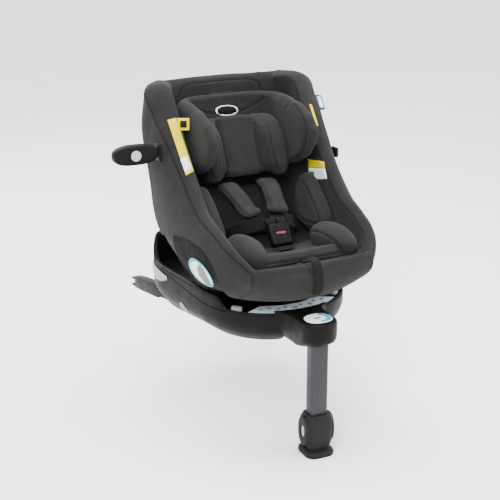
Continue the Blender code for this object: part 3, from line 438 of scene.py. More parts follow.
def gap_to(co, path):
    """Distance from each point to a path; points out of its reach get a large number."""
    best = np.full(len(co), 1e9)
    low, high = path.min(0) - SEAM_REACH, path.max(0) + SEAM_REACH
    spots = np.nonzero(np.all((co > low) & (co < high), axis=1))[0]
    for start in range(0, len(spots), BATCH):
        part = spots[start : start + BATCH]
        best[part] = np.linalg.norm(co[part][:, None] - path[None], axis=2).min(1)
    return best


def push(obj, distance):
    """Moves each point of a piece along its normal."""
    set_points(obj, vectors(obj.data) + vectors(obj.data, "normal") * distance[:, None])


def sew(obj, paths, depth, width, puff):
    """Draws the surface in along seams and lets it stand up a little beside them."""
    co = vectors(obj.data)
    move = np.zeros(len(co))
    for path in paths:
        d = gap_to(co, resample(path, 0.003))
        groove = -depth * np.exp(-((d / width) ** 2))
        swell = puff * np.exp(-(((d - 3.2 * width) / (1.6 * width)) ** 2))
        move = np.where(np.abs(groove + swell) > np.abs(move), groove + swell, move)
    push(obj, move)


RANDOM = np.random.default_rng(7)


def ripple(obj, amount, wave):
    """Slow unevenness of stuffed fabric."""
    co = vectors(obj.data)
    total = np.zeros(len(co))
    for _ in range(7):
        direction = unit(RANDOM.normal(size=3)) * (2 * math.pi / (wave * RANDOM.uniform(0.7, 1.6)))
        total += np.sin(co @ direction + RANDOM.uniform(0, 6.28))
    push(obj, total / 4.0 * amount)


CLOTH_FRAMES = 20


def inflate(obj, voxel, pressure, cap):
    """Stuffs a closed form: remesh, cloth pressure, capped movement, one subdivision."""
    apply(obj, "REMESH", mode="VOXEL", voxel_size=voxel)
    rest = vectors(obj.data)
    mod = obj.modifiers.new("cloth", "CLOTH")
    mod.settings.use_pressure = True
    mod.settings.uniform_pressure_force = pressure
    mod.settings.quality = 5
    mod.settings.mass = 0.3
    mod.settings.tension_stiffness = 15
    mod.settings.compression_stiffness = 15
    mod.settings.bending_stiffness = 0.6
    mod.settings.effector_weights.gravity = 0.0
    mod.point_cache.frame_start = 1
    mod.point_cache.frame_end = CLOTH_FRAMES
    scene = bpy.context.scene
    for f in range(1, CLOTH_FRAMES + 1):
        scene.frame_set(f)
    graph = bpy.context.evaluated_depsgraph_get()
    moved = bpy.data.meshes.new_from_object(obj.evaluated_get(graph))
    move = vectors(moved) - rest
    obj.modifiers.clear()
    bpy.data.meshes.remove(moved)
    size = np.linalg.norm(move, axis=1, keepdims=True)
    move *= np.minimum(1.0, cap / np.maximum(size, 1e-9))
    set_points(obj, rest + move)
    scene.frame_set(1)
    return apply(obj, "SUBSURF", levels=1, render_levels=1)


SHARP = 34.0


def cad_copy(node, mat):
    """A welded copy of a CAD node, in one material."""
    mesh = NODES[node].data.copy()
    mesh.name = node + "_shown"
    if mesh.attributes.get("custom_normal"):
        mesh.attributes.remove(mesh.attributes["custom_normal"])
    rework(mesh, lambda work: bmesh.ops.remove_doubles(work, verts=work.verts, dist=2e-5))
    obj = bpy.data.objects.new(mesh.name, mesh)
    bpy.context.scene.collection.objects.link(obj)
    mesh.materials.clear()
    mesh.materials.append(mat)
    return obj


def sharp_edges(work, angle):
    """The edges that turn by more than an angle in degrees."""
    return [e for e in work.edges if e.is_manifold and e.calc_face_angle(0.0) > math.radians(angle)]


def crisp(work, angle):
    """Smooth shading everywhere but over the sharp edges."""
    for part in (*work.faces, *work.edges):
        part.smooth = True
    for edge in sharp_edges(work, angle):
        edge.smooth = False


def redo(node, mat, bevel):
    """A finer copy of a hard CAD node: edges rounded, smooth between its real edges."""
    obj = cad_copy(node, mat)

    def round_off(work):
        bmesh.ops.dissolve_limit(work, angle_limit=math.radians(0.5), verts=work.verts, edges=work.edges)
        if bevel:
            how = {"segments": 2, "profile": 0.5, "affect": "EDGES", "clamp_overlap": True}
            bmesh.ops.bevel(work, geom=sharp_edges(work, SHARP), offset=bevel, **how)
        crisp(work, SHARP)

    rework(obj.data, round_off)
    settle(obj, NODES[node]["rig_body"], (node,))


# ---------------------------------------------------------------- seat bucket surfaces

# Nine points of each profile of the seat's left half, from the front lip to the top edge, at the shares TS.
# FLOOR and RIM_IN bound the lining; the others go down the outside from the rim to the sole.
TS = np.array([0.0, 0.12, 0.25, 0.40, 0.55, 0.70, 0.82, 0.92, 1.0])
BOX_EXP = 3.4
SHELL_T = 0.0045
COVER_T = 0.0040
SKIRT_GAP = 0.0037
SKIRT_INSIDE = 0.0006

FLOOR = mm((
    (0, -238, 198), (0, -185, 194), (0, -120, 182), (0, -30, 164), (0, 70, 166),
    (0, 130, 240), (0, 180, 335), (0, 226, 435), (0, 238, 514),
))
RIM_IN = mm((
    (138, -228, 203), (158, -190, 236), (164, -130, 264), (164, -60, 290), (162, 5, 350),
    (159, 65, 415), (158, 114, 476), (155, 162, 530), (135, 213, 529),
))
RIM_OUT = mm((
    (141, -243, 202), (172, -199, 238), (182, -135, 264), (187, -60, 291), (190, 10, 351),
    (199, 78, 424), (206, 136, 480), (206, 190, 528), (168, 246, 531),
))
UPPER = mm((
    (144, -246, 190), (178, -200, 222), (194, -137, 246), (204, -61, 268), (209, 12, 312),
    (214, 78, 366), (216, 138, 410), (214, 192, 442), (176, 243, 455),
))
MIDDLE = mm((
    (144, -240, 176), (180, -196, 195), (202, -138, 212), (213, -62, 230), (218, 10, 258),
    (219, 68, 290), (216, 122, 318), (207, 166, 335), (166, 214, 345),
))
GIRTH = mm((
    (134, -218, 152), (172, -184, 156), (198, -132, 164), (211, -62, 176), (214, 0, 190),
    (212, 48, 200), (207, 106, 206), (192, 145, 212), (150, 172, 215),
))
LOWER = mm((
    (120, -184, 130), (150, -152, 130), (174, -108, 131), (186, -55, 132), (189, 0, 135),
    (184, 42, 142), (172, 78, 152), (150, 106, 160), (112, 130, 164),
))
SOLE = mm((
    (100, -130, 134), (126, -108, 125), (144, -80, 117), (152, -45, 110), (154, -8, 107),
    (150, 26, 108), (138, 56, 111), (118, 80, 117), (88, 96, 122),
))


def bucket(t, v):
    """Points of the bucket's inner surface: t runs from front lip to top edge, v across from -1 to 1."""
    t = np.atleast_1d(t)
    v = np.atleast_1d(v)
    floor = curve(TS, FLOOR, t)
    rim = curve(TS, RIM_IN, t)
    angle = np.linspace(0.0, math.pi / 2, 160)
    s = np.sin(angle) ** (2 / BOX_EXP)
    q = 1 - np.cos(angle) ** (2 / BOX_EXP)
    out = np.zeros((len(t), len(v), 3))
    for i in range(len(t)):
        rise = rim[i] - floor[i]
        rise[0] = 0.0
        line = floor[i] + rise * q[:, None]
        line[:, 0] = rim[i][0] * s
        run = run_along(line)
        want = np.abs(v) * run[-1]
        for axis in range(3):
            out[i, :, axis] = np.interp(want, run, line[:, axis])
        out[i, :, 0] *= np.sign(v)
    return out


def grid_normals(grid):
    """Unit normals of a grid of points, facing up into the bucket."""
    du = np.gradient(grid, axis=0)
    dv = np.gradient(grid, axis=1)
    n = np.cross(dv, du)
    return n / np.linalg.norm(n, axis=2)[:, :, None]


def border(nu, nv):
    """Numbers of the points round a grid's edge: up the right side, over, down the left, along the front."""
    right = [(i, nv) for i in range(nu + 1)]
    top = [(nu, j) for j in range(nv - 1, 0, -1)]
    left = [(i, 0) for i in range(nu, -1, -1)]
    front = [(0, j) for j in range(1, nv)]
    return [i * (nv + 1) + j for i, j in right + top + left + front]


def outer_loop(side, front_mid, back_mid, grid):
    """A closed loop outside the bucket that keeps step with the inner patch's border."""
    nu, nv = grid.shape[0] - 1, grid.shape[1] - 1
    right = curve(TS, side, np.linspace(0.0, 1.0, nu + 1))

    def edge(mid, corner, row, order):
        shares = row[:, 0] / row[-1, 0]
        points = []
        for f in shares[order]:
            y = mid[0] + (corner[1] - mid[0]) * (f * f)
            z = mid[1] + (corner[2] - mid[1]) * (f * f)
            points.append((corner[0] * f, y, z))
        return points

    loop = list(right) + edge(back_mid, right[-1], grid[-1], range(nv - 1, 0, -1))
    loop += [p * (-1, 1, 1) for p in right[::-1]] + edge(front_mid, right[0], grid[0], range(1, nv))
    return np.array(loop)


def loop_normals(loops):
    """Outward normals of a stack of closed loops that climbs from the sole to the rim."""
    stack = np.array(loops)
    up = np.gradient(stack, axis=0)
    around = np.roll(stack, -1, axis=1) - np.roll(stack, 1, axis=1)
    n = np.cross(around, up)
    return n / np.linalg.norm(n, axis=2)[:, :, None]


# The level of the outer loops, 0 at the sole and 5 at the rim, where the fabric ends along the side.
HEM_BACK = 4.4
HEM_T = (0.0, 0.08, 0.12, 0.18, 0.25, 0.32, 0.40, 0.475, 0.55, 0.62, 0.70, 0.82, 0.92, 1.0)
HEM_SIDE = (1.0, 1.0, 1.25, 2.75, 3.35, 3.42, 3.25, 2.92, 2.62, 2.42, 2.25, 2.10, 2.8, 4.2)

# Steps of the grid along and across the bucket.
NU = 176
NV = 112
T_ROW = np.linspace(0.0, 1.0, NU + 1)
INNER = bucket(T_ROW, np.linspace(-1.0, 1.0, NV + 1))
INNER_N = grid_normals(INNER)
BORDER = border(NU, NV)
# Each outer loop: its side profile, and where it crosses the middle in front and behind (y, z).
LEVELS = (
    (SOLE, (-0.140, 0.138), (0.102, 0.123)),
    (LOWER, (-0.220, 0.127), (0.152, 0.164)),
    (GIRTH, (-0.250, 0.146), (0.196, 0.216)),
    (MIDDLE, (-0.261, 0.168), (0.238, 0.345)),
    (UPPER, (-0.260, 0.184), (0.270, 0.455)),
    (RIM_OUT, (-0.253, 0.196), (0.264, 0.533)),
)
OUTER = np.array([outer_loop(*level, INNER) for level in LEVELS])
OUTER_N = loop_normals(OUTER)
OUTER_N[-1] = OUTER_N[-2]
OUTER_N[0] = OUTER_N[1]


def at_level(stack, level, column=None):
    """A smooth loop at a level of its own for each point of the border, or for some columns of it."""
    column = np.arange(stack.shape[1]) if column is None else column
    level = np.broadcast_to(level, column.shape)
    slopes = np.gradient(stack, axis=0)
    low = np.clip(np.floor(level).astype(int), 0, len(stack) - 2)
    high = low + 1
    f = (level - low)[:, None]
    return cubic(f, 1.0, stack[low, column], stack[high, column], slopes[low, column], slopes[high, column])


def hem_levels():
    """How far down the outer loops the fabric reaches, round the border."""
    side = curve(HEM_T, HEM_SIDE, T_ROW)
    shares = np.abs(np.linspace(-1, 1, NV + 1)[1:-1])
    back = HEM_BACK + (HEM_SIDE[-1] - HEM_BACK) * shares**4
    front = np.full(NV - 1, HEM_SIDE[0])
    return np.concatenate([side, back, side[::-1], front])


def patch_faces(nu, nv, base=0):
    """Quads over a grid of points whose first number is base."""
    faces = []
    for i in range(nu):
        for j in range(nv):
            a = base + i * (nv + 1) + j
            faces.append((a, a + nv + 1, a + nv + 2, a + 1))
    return faces


def slab(low, top, nu, nv):
    """Points and faces of a thin solid between two grids."""
    size = len(low)
    edge = border(nu, nv)
    faces = patch_faces(nu, nv) + patch_faces(nu, nv, size)
    faces += [(a, b, size + b, size + a) for a, b in zip(edge, edge[1:] + edge[:1])]
    return np.vstack([low, top]), faces


def loop_faces(edge, start, rows):
    """Quads from an edge's own numbers on through closed loops, whose first point is number start."""
    faces = []
    last = list(edge)
    for r in range(rows):
        here = [start + r * len(edge) + k for k in range(len(edge))]
        faces += [(a, b, d, c) for a, b, c, d in zip(last, last[1:] + last[:1], here, here[1:] + here[:1])]
        last = here
    return faces


SHOWN = OUTER + OUTER_N * (COVER_T + SKIRT_GAP)
HIDDEN = OUTER + OUTER_N * (SKIRT_GAP + SKIRT_INSIDE)
EDGE_B = INNER.reshape(-1, 3)[BORDER]
EDGE_A = SHOWN[-1]
HEM_LINE = hem_levels()
ROLL_LIFT = 0.0130
ROLL_WAY = np.array((0.0, -0.25, 0.97))


def seat_cover():
    """The padded fabric: the bucket's lining, its rolled rim, and a skirt over the shell's edge."""
    across = EDGE_A - EDGE_B
    loops = []
    for s in np.linspace(0, 1, 17)[1:]:
        swell = ROLL_LIFT * math.sin(math.pi * min(s, 0.9999)) ** 0.62
        loops.append(EDGE_B + across * s + ROLL_WAY * swell)
    top = np.linspace(0, 0.08, 5)
    skirt = np.linspace(0.08, 0.94, 40)
    end = np.linspace(0.94, 1.0, 5)
    for f in np.concatenate([top[1:], skirt[1:], end[1:]]):
        loops.append(at_level(SHOWN, 5 - (5 - HEM_LINE) * f))
    rim = at_level(SHOWN, HEM_LINE)
    back = at_level(HIDDEN, HEM_LINE)
    loops.append((rim + back) / 2 + (rim - loops[-3]) * 0.25)
    loops.append(back)
    loops.append(at_level(HIDDEN, np.minimum(HEM_LINE + 0.18, 4.9)))
    lining = INNER.reshape(-1, 3)
    faces = patch_faces(NU, NV) + loop_faces(BORDER, len(lining), len(loops))
    made = put("seat_cover_shown", np.concatenate([lining] + loops), faces, FABRIC)
    ripple(made, amount=0.0011, wave=0.13)
    return made


def refine(obj, paths, radius):
    """Halves the edges that lie near a few seams."""
    co = vectors(obj.data)
    near = np.zeros(len(co), bool)
    for path in paths:
        near |= gap_to(co, resample(path, 0.003)) < radius

    def halve(work):
        work.verts.ensure_lookup_table()
        edges = [e for e in work.edges if near[e.verts[0].index] and near[e.verts[1].index]]
        bmesh.ops.subdivide_edges(work, edges=edges, cuts=1, use_grid_fill=True)
        for face in work.faces:
            face.smooth = True

    rework(obj.data, halve)


def search_tree(obj):
    """A piece's faces, ready to be searched for the spot nearest a point or met by a ray."""
    return BVHTree.FromPolygons([v.co for v in obj.data.vertices], [p.vertices for p in obj.data.polygons])


def snap(obj, path, lift=0.0):
    """A path moved onto a piece's surface and evened out."""
    tree = search_tree(obj)
    out = []
    for p in path:
        spot, normal, _, _ = tree.find_nearest(Vector(p))
        out.append(spot + normal * lift)
    out = np.array(out)
    for _ in range(2):
        out[1:-1] = out[1:-1] * 0.5 + (out[:-2] + out[2:]) * 0.25
    return out


def piping(name, obj, path, radius, body, lift=0.0):
    """A dark cord along a path on a cushion. On the insert's lip it is real piping; laid into a seam it is
    painted shade of the seam's groove.
    """
    made = put(name, *tube(snap(obj, resample(path, 0.004), lift), radius), PIPING_AND_SEAM_SHADE)
    settle(made, body)


def seams(name, obj, paths, depth, width, puff, body, radius=0.0009):
    """Seams drawn into a cushion, each with a dark cord in its groove as painted shade."""
    sew(obj, paths, depth, width, puff)
    for number, path in enumerate(paths):
        piping(f"{name}_{number}", obj, path, radius, body, 0.0003)


cover = seat_cover()
flap_edge = [(-0.112, 0.228, 0.498), (-0.104, 0.234, 0.514), (-0.085, 0.238, 0.524), (-0.045, 0.241, 0.526)]
flap_edge = flap_edge + [(-x, y, z) for x, y, z in flap_edge[::-1]]
shoulder_seam = [(0.112, 0.249, 0.545), (0.109, 0.244, 0.530), (0.103, 0.231, 0.501)]
COVER_SEAMS = [spline(flap_edge, 0.003), spline(shoulder_seam, 0.003)]
ROLL_SEAMS = []
for start, stop in ((2, NU - 4), (NU + NV + 4, 2 * NU + NV - 2)):
    ROLL_SEAMS += [EDGE_A[start:stop], EDGE_B[start:stop]]
ROLL_SEAMS.append(EDGE_B[2 * NU + NV - 2 :])
CORNER_SEAM = mm(((140, -230, 206), (149, -250, 200), (151, -250, 178), (149, -226, 150), (150, -190, 134)))
COVER_SEAMS += [spline(CORNER_SEAM), spline(CORNER_SEAM * (-1, 1, 1))]
refine(cover, COVER_SEAMS, 0.012)
seams("cover_roll_seam", cover, ROLL_SEAMS, depth=0.0020, width=0.0022, puff=0.0010, body="seat")
seams("cover_seam", cover, COVER_SEAMS, depth=0.0020, width=0.0022, puff=0.0008, body="seat")
apply(cover, "SOLIDIFY", thickness=0.0022, offset=-1.0)
settle(cover, "seat", ("seat_cover",))


ARC_Z = 0.420
ARC_RADIUS = 0.314


def seat_shell():
    """The hard outer bowl, open at the top under the fabric; its sole lies on the recline arc."""
    inset = OUTER - OUTER_N * SHELL_T
    inset[0][:, 2] = OUTER[0][:, 2] + SHELL_T
    inset[0][:, :2] = OUTER[0][:, :2] * 0.96
    sole = []
    for f in (0.02, 0.2, 0.4, 0.6, 0.8):
        loop = OUTER[0] * (f, f, 1.0)
        arc = ARC_Z - np.sqrt(ARC_RADIUS**2 - loop[:, 1] ** 2)
        loop[:, 2] = arc * (1 - f**4) + OUTER[0][:, 2] * f**4
        sole.append(loop)
    outside = [at_level(OUTER, level) for level in np.linspace(0.0, 4.95, 56)]
    inside = [at_level(inset, level) for level in np.linspace(4.95, 0.0, 14)]
    cap = [loop + (0, 0, SHELL_T) for loop in sole[::-1]]
    return lofted(sole + outside + inside + cap)


settle(put("seat_shell_shown", *seat_shell(), SHELL), "seat", ("seat_shell",))

# ---------------------------------------------------------------- base

BASE_EDGE = mm((
    (0, -203), (70, -190), (125, -153), (160, -105), (177, -50), (185, 0), (192, 60),
    (198, 120), (199, 180), (186, 230), (150, 266), (90, 284), (0, 289),
))


def base_radius(turn):
    """The radius of the base's plan at an angle from straight ahead."""
    return curve(np.arctan2(BASE_EDGE[:, 0], -BASE_EDGE[:, 1]), np.linalg.norm(BASE_EDGE, axis=1), turn)


DECK_Z = 0.0775
PHI = np.linspace(0.0, 2 * math.pi, 241)[:-1]
FROM_FRONT = np.minimum(PHI, 2 * math.pi - PHI)
PLAN_R = base_radius(FROM_FRONT)
PLAN = np.column_stack([PLAN_R * np.sin(PHI), -PLAN_R * np.cos(PHI)])
TURN = np.degrees(FROM_FRONT)
SEAM_Z = 0.0770 + 0.026 * smooth(60, 150, TURN)
GROOVE = 1.0 - smooth(7, 11, TURN)
WALL_T = 0.0085 + 0.0095 * smooth(52, 61, TURN) - 0.0075 * smooth(128, 148, TURN)
TOP_Z = 0.0815 + 0.0275 * smooth(50, 61, TURN) + 0.054 * smooth(134, 146, TURN)


def ring(inset, z):
    """The base's plan, set in from its edge, at height z."""
    share = (PLAN_R - inset) / PLAN_R
    return np.column_stack([PLAN[:, 0] * share, PLAN[:, 1] * share, np.broadcast_to(z, PHI.shape)])


def flat_ring(radius, z):
    """A circle with as many points as the base's plan."""
    return np.column_stack([radius * np.sin(PHI), -radius * np.cos(PHI), np.full(len(PHI), z)])


def cutter(verts, faces):
    """A hidden form that is to be cut out of a piece."""
    obj = put("cutter", verts, faces, DARK)
    obj.hide_render = True
    return obj


def carve(obj, cutters):
    """Cuts the cutters out of a piece, and takes them away."""
    for held in cutters:
        apply(obj, "BOOLEAN", operation="DIFFERENCE", solver="EXACT", object=held)
    for held in cutters:
        bpy.data.objects.remove(held)
    return obj


def creases(obj, angle):
    """Keeps the sharp edges crisp in the shading."""
    rework(obj.data, lambda work: crisp(work, angle))
    return obj


def solid(name, loops, mat, angle, body, hides=()):
    """A hard piece through closed loops."""
    return settle(creases(put(name, *lofted(loops), mat), angle), body, hides)


def raised(flat, heights):
    """A plan outline at several heights."""
    return [[(x, y, z) for x, y in flat] for z in heights]


def superellipse(c, s, power_c, power_s):
    """A circle's point (c, s), pulled towards the corners of a box."""
    return math.copysign(abs(c) ** power_c, c), math.copysign(abs(s) ** power_s, s)


def oval(rx, ry, sides=32, power=2.2):
    """A closed outline between an ellipse and a rounded box."""
    out = []
    for a in np.linspace(0, 2 * math.pi, sides + 1)[:-1]:
        x, y = superellipse(math.cos(a), math.sin(a), 2 / power, 2 / power)
        out.append((rx * x, ry * y))
    return np.array(out)


RELEASE_TURN = math.radians(106.5)
RELEASE_LEAN = math.radians(37)
RELEASE_RADIUS = 0.1895
RELEASE_Z = 0.0310


def release_loops(sign, grow, levels):
    """Oval loops square to the tub's flank where the release buttons are; a level may shrink its loop."""
    turn = Matrix.Rotation(RELEASE_TURN * sign, 3, "Z") @ Matrix.Rotation(RELEASE_LEAN, 3, "X")
    across = RELEASE_RADIUS * math.sin(RELEASE_TURN * sign)
    centre = Vector((across, -RELEASE_RADIUS * math.cos(RELEASE_TURN), RELEASE_Z))
    loops = []
    for level, shrink in levels:
        flat = oval(0.0130 + grow - shrink, 0.0155 + grow - shrink)
        loops.append([np.array(centre + turn @ Vector((a, -level, b))) for a, b in flat])
    return loops


ROTATION_TURN = math.radians(46)
ROTATION_RADIUS = 0.1750


def rotation_oval(sign, rx, ry):
    """The plan outline of a rotation button, turned to face the middle of the base."""
    a = ROTATION_TURN * sign
    spot = np.array((ROTATION_RADIUS * math.sin(a), -ROTATION_RADIUS * math.cos(a)))
    turn = np.array(((math.cos(a), -math.sin(a)), (math.sin(a), math.cos(a))))
    return oval(rx, ry, 28, 2.4) @ turn.T + spot


def block(centre, size, turn):
    """Corners and faces of a turned box."""
    verts = []
    for sx in (-0.5, 0.5):
        for sy in (-0.5, 0.5):
            for sz in (-0.5, 0.5):
                verts.append(Vector(centre) + turn @ Vector((sx * size[0], sy * size[1], sz * size[2])))
    return verts, [(0, 1, 3, 2), (4, 6, 7, 5), (0, 4, 5, 1), (2, 3, 7, 6), (0, 2, 6, 4), (1, 5, 7, 3)]


def base_tub():
    """The hollow lower half of the base, with the guide channels of the latch arms."""
    edge = 0.055
    outside = np.array(
        [
            flat_ring(0.075, 0.0),
            ring(edge, 0.028 * GROOVE),
            ring(edge - 0.025, 0.012 + 0.024 * GROOVE),
            ring(0.010, 0.031 + 0.019 * GROOVE),
            ring(0.001, 0.052 + 0.008 * GROOVE),
            ring(0.0, SEAM_Z - 0.0012),
        ]
    )
    smooth_side = curve(np.arange(6), outside, np.linspace(1.0, 5.0, 26))
    loops = [outside[0], *smooth_side, ring(0.0012, SEAM_Z), ring(0.005, SEAM_Z)]
    loops += [
        ring(0.006, 0.055 + 0.009 * GROOVE),
        ring(0.015, 0.036 + 0.019 * GROOVE),
        ring(edge - 0.021, 0.018 + 0.024 * GROOVE),
        ring(edge + 0.004, 0.005 + 0.029 * GROOVE),
        flat_ring(0.073, 0.005),
    ]
    for loop in loops:
        loop[:, 2] = np.maximum(loop[:, 2], 0.0)
    tub = put("base_tub_shown", *lofted(loops), HULL)
    slope = Matrix.Rotation(math.radians(-9.5), 3, "X")
    cutters = []
    for sign in (1, -1):
        cutters.append(cutter(*lofted(release_loops(sign, 0.0006, ((-0.013, 0), (0.012, 0))))))
        middle = Vector((0.140 * sign, 0.300, -0.016)) - slope @ Vector((0, 0.070, 0))
        cutters.append(cutter(*block(middle, (0.0300, 0.2800, 0.0370), slope)))
    carve(tub, cutters)
    settle(creases(tub, 38), "base", ("base_tub",))


def base_top_cover():
    """The band round the base: a low deck in front, a wall behind, the turntable's opening in the middle."""
    loops = [
        ring(0.0075, SEAM_Z + 0.0006),
        ring(0.0016, SEAM_Z + 0.0006),
        ring(0.0004, SEAM_Z + 0.0018),
        ring(0.0004, (SEAM_Z + TOP_Z) / 2),
        ring(0.0008, TOP_Z - 0.0060),
        ring(0.0015, TOP_Z - 0.0030),
        ring(0.0035, TOP_Z - 0.0010),
        ring(WALL_T * 0.44, TOP_Z),
        ring(WALL_T * 0.78, TOP_Z - 0.0010),
        ring(WALL_T * 0.95, TOP_Z - 0.0032),
        ring(WALL_T, np.maximum(TOP_Z - 0.006, DECK_Z + 0.0030)),
        ring(WALL_T + 0.0006, DECK_Z + 0.0012),
        ring(WALL_T + 0.0018, DECK_Z),
        flat_ring(0.125, DECK_Z),
        flat_ring(0.125, DECK_Z - 0.005),
        ring(0.0075, DECK_Z - 0.005),
    ]
    made = put("base_top_cover_shown", *lofted(loops, ring=True), BAND)
    cutters = []
    for sign in (1, -1):
        hole = rotation_oval(sign, 0.0136, 0.0091)
        cutters.append(cutter(*lofted(raised(hole, (DECK_Z - 0.02, DECK_Z + 0.002)))))
    carve(made, cutters)
    settle(creases(made, 38), "base", ("base_top_cover",))


base_tub()
base_top_cover()
PRESS_LEVELS = (
    (-0.0070, 0.0),
    (0.0000, 0.0),
    (0.0012, 0.0006),
    (0.0020, 0.0020),
    (0.0024, 0.0050),
    (0.0026, 0.0100),
)
for side, sign in SIDES:
    node = f"isofix_release_{side}"
    solid(f"{node}_shown", release_loops(sign, 0.0, PRESS_LEVELS), PALE, 50, node, (node,))
    loops = []
    for z, shrink in ((-0.004, 0.0), (0.0058, 0.0), (0.0074, 0.0006), (0.0083, 0.0018), (0.0088, 0.0045)):
        loops += raised(rotation_oval(sign, 0.0130 - shrink, 0.0085 - shrink), (DECK_Z + z,))
    node = f"rotation_button_{side}"
    solid(f"{node}_shown", loops, PALE, 50, node, (node,))

# Hard CAD nodes shown as they are: material, radius of their edges, nodes.
HARD_NODES = (
    (DARK, 0.0012, ("turntable",)),
    (DARK, 0.0008, ("recline_cradle",)),
    (DARK, 0.0006, ("recline_carriage",)),
    (MID, 0.0, ("rotation_latch", "recline_handle")),
    (LEG, 0.0, ("leg_upper_tube",)),
    (LEG, 0.0008, ("leg_inner_tube",)),
    (CLAMP, 0.0, ("leg_clamp",)),
    (PALE, 0.0, ("leg_button_left", "leg_button_right")),
    (RUBBER, 0.0008, ("leg_sole",)),
    (DARK, 0.0, ("isofix_arm_left", "isofix_arm_right")),
    (STEEL, 0.0004, ("isofix_latch_left", "isofix_latch_right")),
    (MID, 0.0, ("headrest_lever",)),
    (DARK, 0.0006, ("headrest_plate",)),
    (DARK, 0.0, ("buckle_housing", "buckle_button", "tongue_left", "tongue_right", "adjuster_button")),
    (DARK, 0.0, ("pod_socket_left", "pod_socket_right", "impact_pod")),
    (PALE, 0.0, ("pod_button",)),
    (PALE, 0.0006, ("rear_trim_left", "rear_trim_right")),
)
for mat, bevel, nodes in HARD_NODES:
    for node in nodes:
        redo(node, mat, bevel)
for held in NODES["seat_liner"].material_slots:
    held.material = FOAM

# ---------------------------------------------------------------- cushions


def stuffed(node, mat, body, voxel, cap, steps):
    """A cushion in the shape of a CAD node, softened and filled."""
    obj = cad_copy(node, mat)
    apply(obj, "REMESH", mode="VOXEL", voxel_size=voxel)
    apply(obj, "SMOOTH", factor=0.5, iterations=steps)
    inflate(obj, voxel, 4.0, cap)
    apply(obj, "SMOOTH", factor=0.4, iterations=2)
    settle(obj, body, (node,))
    return obj


def on_bucket(t, v):
    """Points and normals of the bucket's lining at shares t and v."""
    t, v = np.broadcast_arrays(np.asarray(t, float), np.asarray(v, float))
    i = np.clip((t * NU).astype(int), 0, NU - 1)
    j = np.clip(((v + 1) / 2 * NV).astype(int), 0, NV - 1)
    a = (t * NU - i)[..., None]
    b = ((v + 1) / 2 * NV - j)[..., None]
    out = []
    for grid in (INNER, INNER_N):
        low = grid[i, j] * (1 - b) + grid[i, j + 1] * b
        high = grid[i + 1, j] * (1 - b) + grid[i + 1, j + 1] * b
        out.append(low * (1 - a) + high * a)
    return out[0], unit(out[1])


BOLSTER_AT = (0.505, 0.69)
BOLSTER_HALF = (0.086, 0.056)
BOLSTER_THICK = 0.040
BOLSTER_GAP = 0.003
BOLSTER_LEAN = np.array((0.0, -0.004, 0.0))
BOLSTER_POWER = 2.4


def bolster_spots(sign, flat):
    """Bucket shares for points of a flat outline, whose half sizes are 1, round a bolster's middle."""
    t, v = BOLSTER_AT[0], BOLSTER_AT[1] * sign
    step = 0.004
    ends, _ = on_bucket((t - step, t + step, t, t), (v, v, v - step, v + step))
    along = 2 * step / np.linalg.norm(ends[1] - ends[0])
    across = 2 * step / np.linalg.norm(ends[3] - ends[2])
    spots = flat * BOLSTER_HALF
    return np.clip(t + spots[:, 0] * along, 0.01, 0.99), np.clip(v + spots[:, 1] * across, -0.985, 0.985)


def body_bolster(side, sign):
    """A rounded cushion with a seam round its crown, on the bucket's side."""
    flat = oval(1.0, 1.0, 44, BOLSTER_POWER)
    under = [(rho, 0) for rho in (0.04, 0.35, 0.7, 0.93)]
    edge = [(1.0, 0.22), (1.0, 0.5), (0.94, 0.78), (0.80, 0.93)]
    crown = [(rho, 1.0) for rho in (0.55, 0.28, 0.04)]
    loops = []
    for rho, height in under + edge + crown:
        point, normal = on_bucket(*bolster_spots(sign, flat * rho))
        lift = BOLSTER_THICK * (height if height < 1 else 1.06 - 0.10 * rho**2)
        loops.append(point + normal * (BOLSTER_GAP + lift) + BOLSTER_LEAN * height)
    name = f"body_bolster_{side}_shown"
    obj = put(name, *lofted(loops), INSERT)
    inflate(obj, voxel=0.0046, pressure=4.0, cap=0.005)
    apply(obj, "SMOOTH", factor=0.5, iterations=4)
    point, normal = on_bucket(*bolster_spots(sign, oval(0.86, 0.86, 60, BOLSTER_POWER)))
    path = snap(obj, point + normal * (BOLSTER_THICK + BOLSTER_GAP + 0.004) + BOLSTER_LEAN)
    seams(f"{name}_seam", obj, [closed(path)], depth=0.0026, width=0.0024, puff=0.0010, body="seat")
    settle(obj, "seat", (f"body_bolster_{side}",))


HEAD_ZS = (0.332, 0.348, 0.374, 0.408, 0.442, 0.473, 0.494, 0.505)
HEAD_BACK = (0.156, 0.167, 0.180, 0.197, 0.212, 0.221, 0.222, 0.219)
HEAD_FRONT = (0.105, 0.060, 0.010, -0.014, -0.020, 0.008, 0.055, 0.115)


def head_back(z):
    """How far back the headrest's front surface lies at height z, behind the pillow."""
    return np.interp(z, HEAD_ZS, HEAD_BACK)


headrest = stuffed("headrest_pad", FABRIC, "headrest", voxel=0.0052, cap=0.004, steps=8)
pillow = stuffed("head_pillow", INSERT, "headrest", voxel=0.0044, cap=0.005, steps=4)
co = vectors(pillow.data)
height = np.clip((co[:, 2] - 0.310) / 0.150, 0.0, 1.0)
side = smooth(0.050, 0.064, np.abs(co[:, 0]))
front = smooth(0.0, 0.05, head_back(co[:, 2]) - co[:, 1])
co[:, 1] += 0.034 * (1 - np.sin(math.pi * (0.08 + 0.84 * height)) ** 0.7) * side * front
set_points(pillow, co)
stuffed("back_pad", INSERT, "seat", voxel=0.0042, cap=0.005, steps=5)


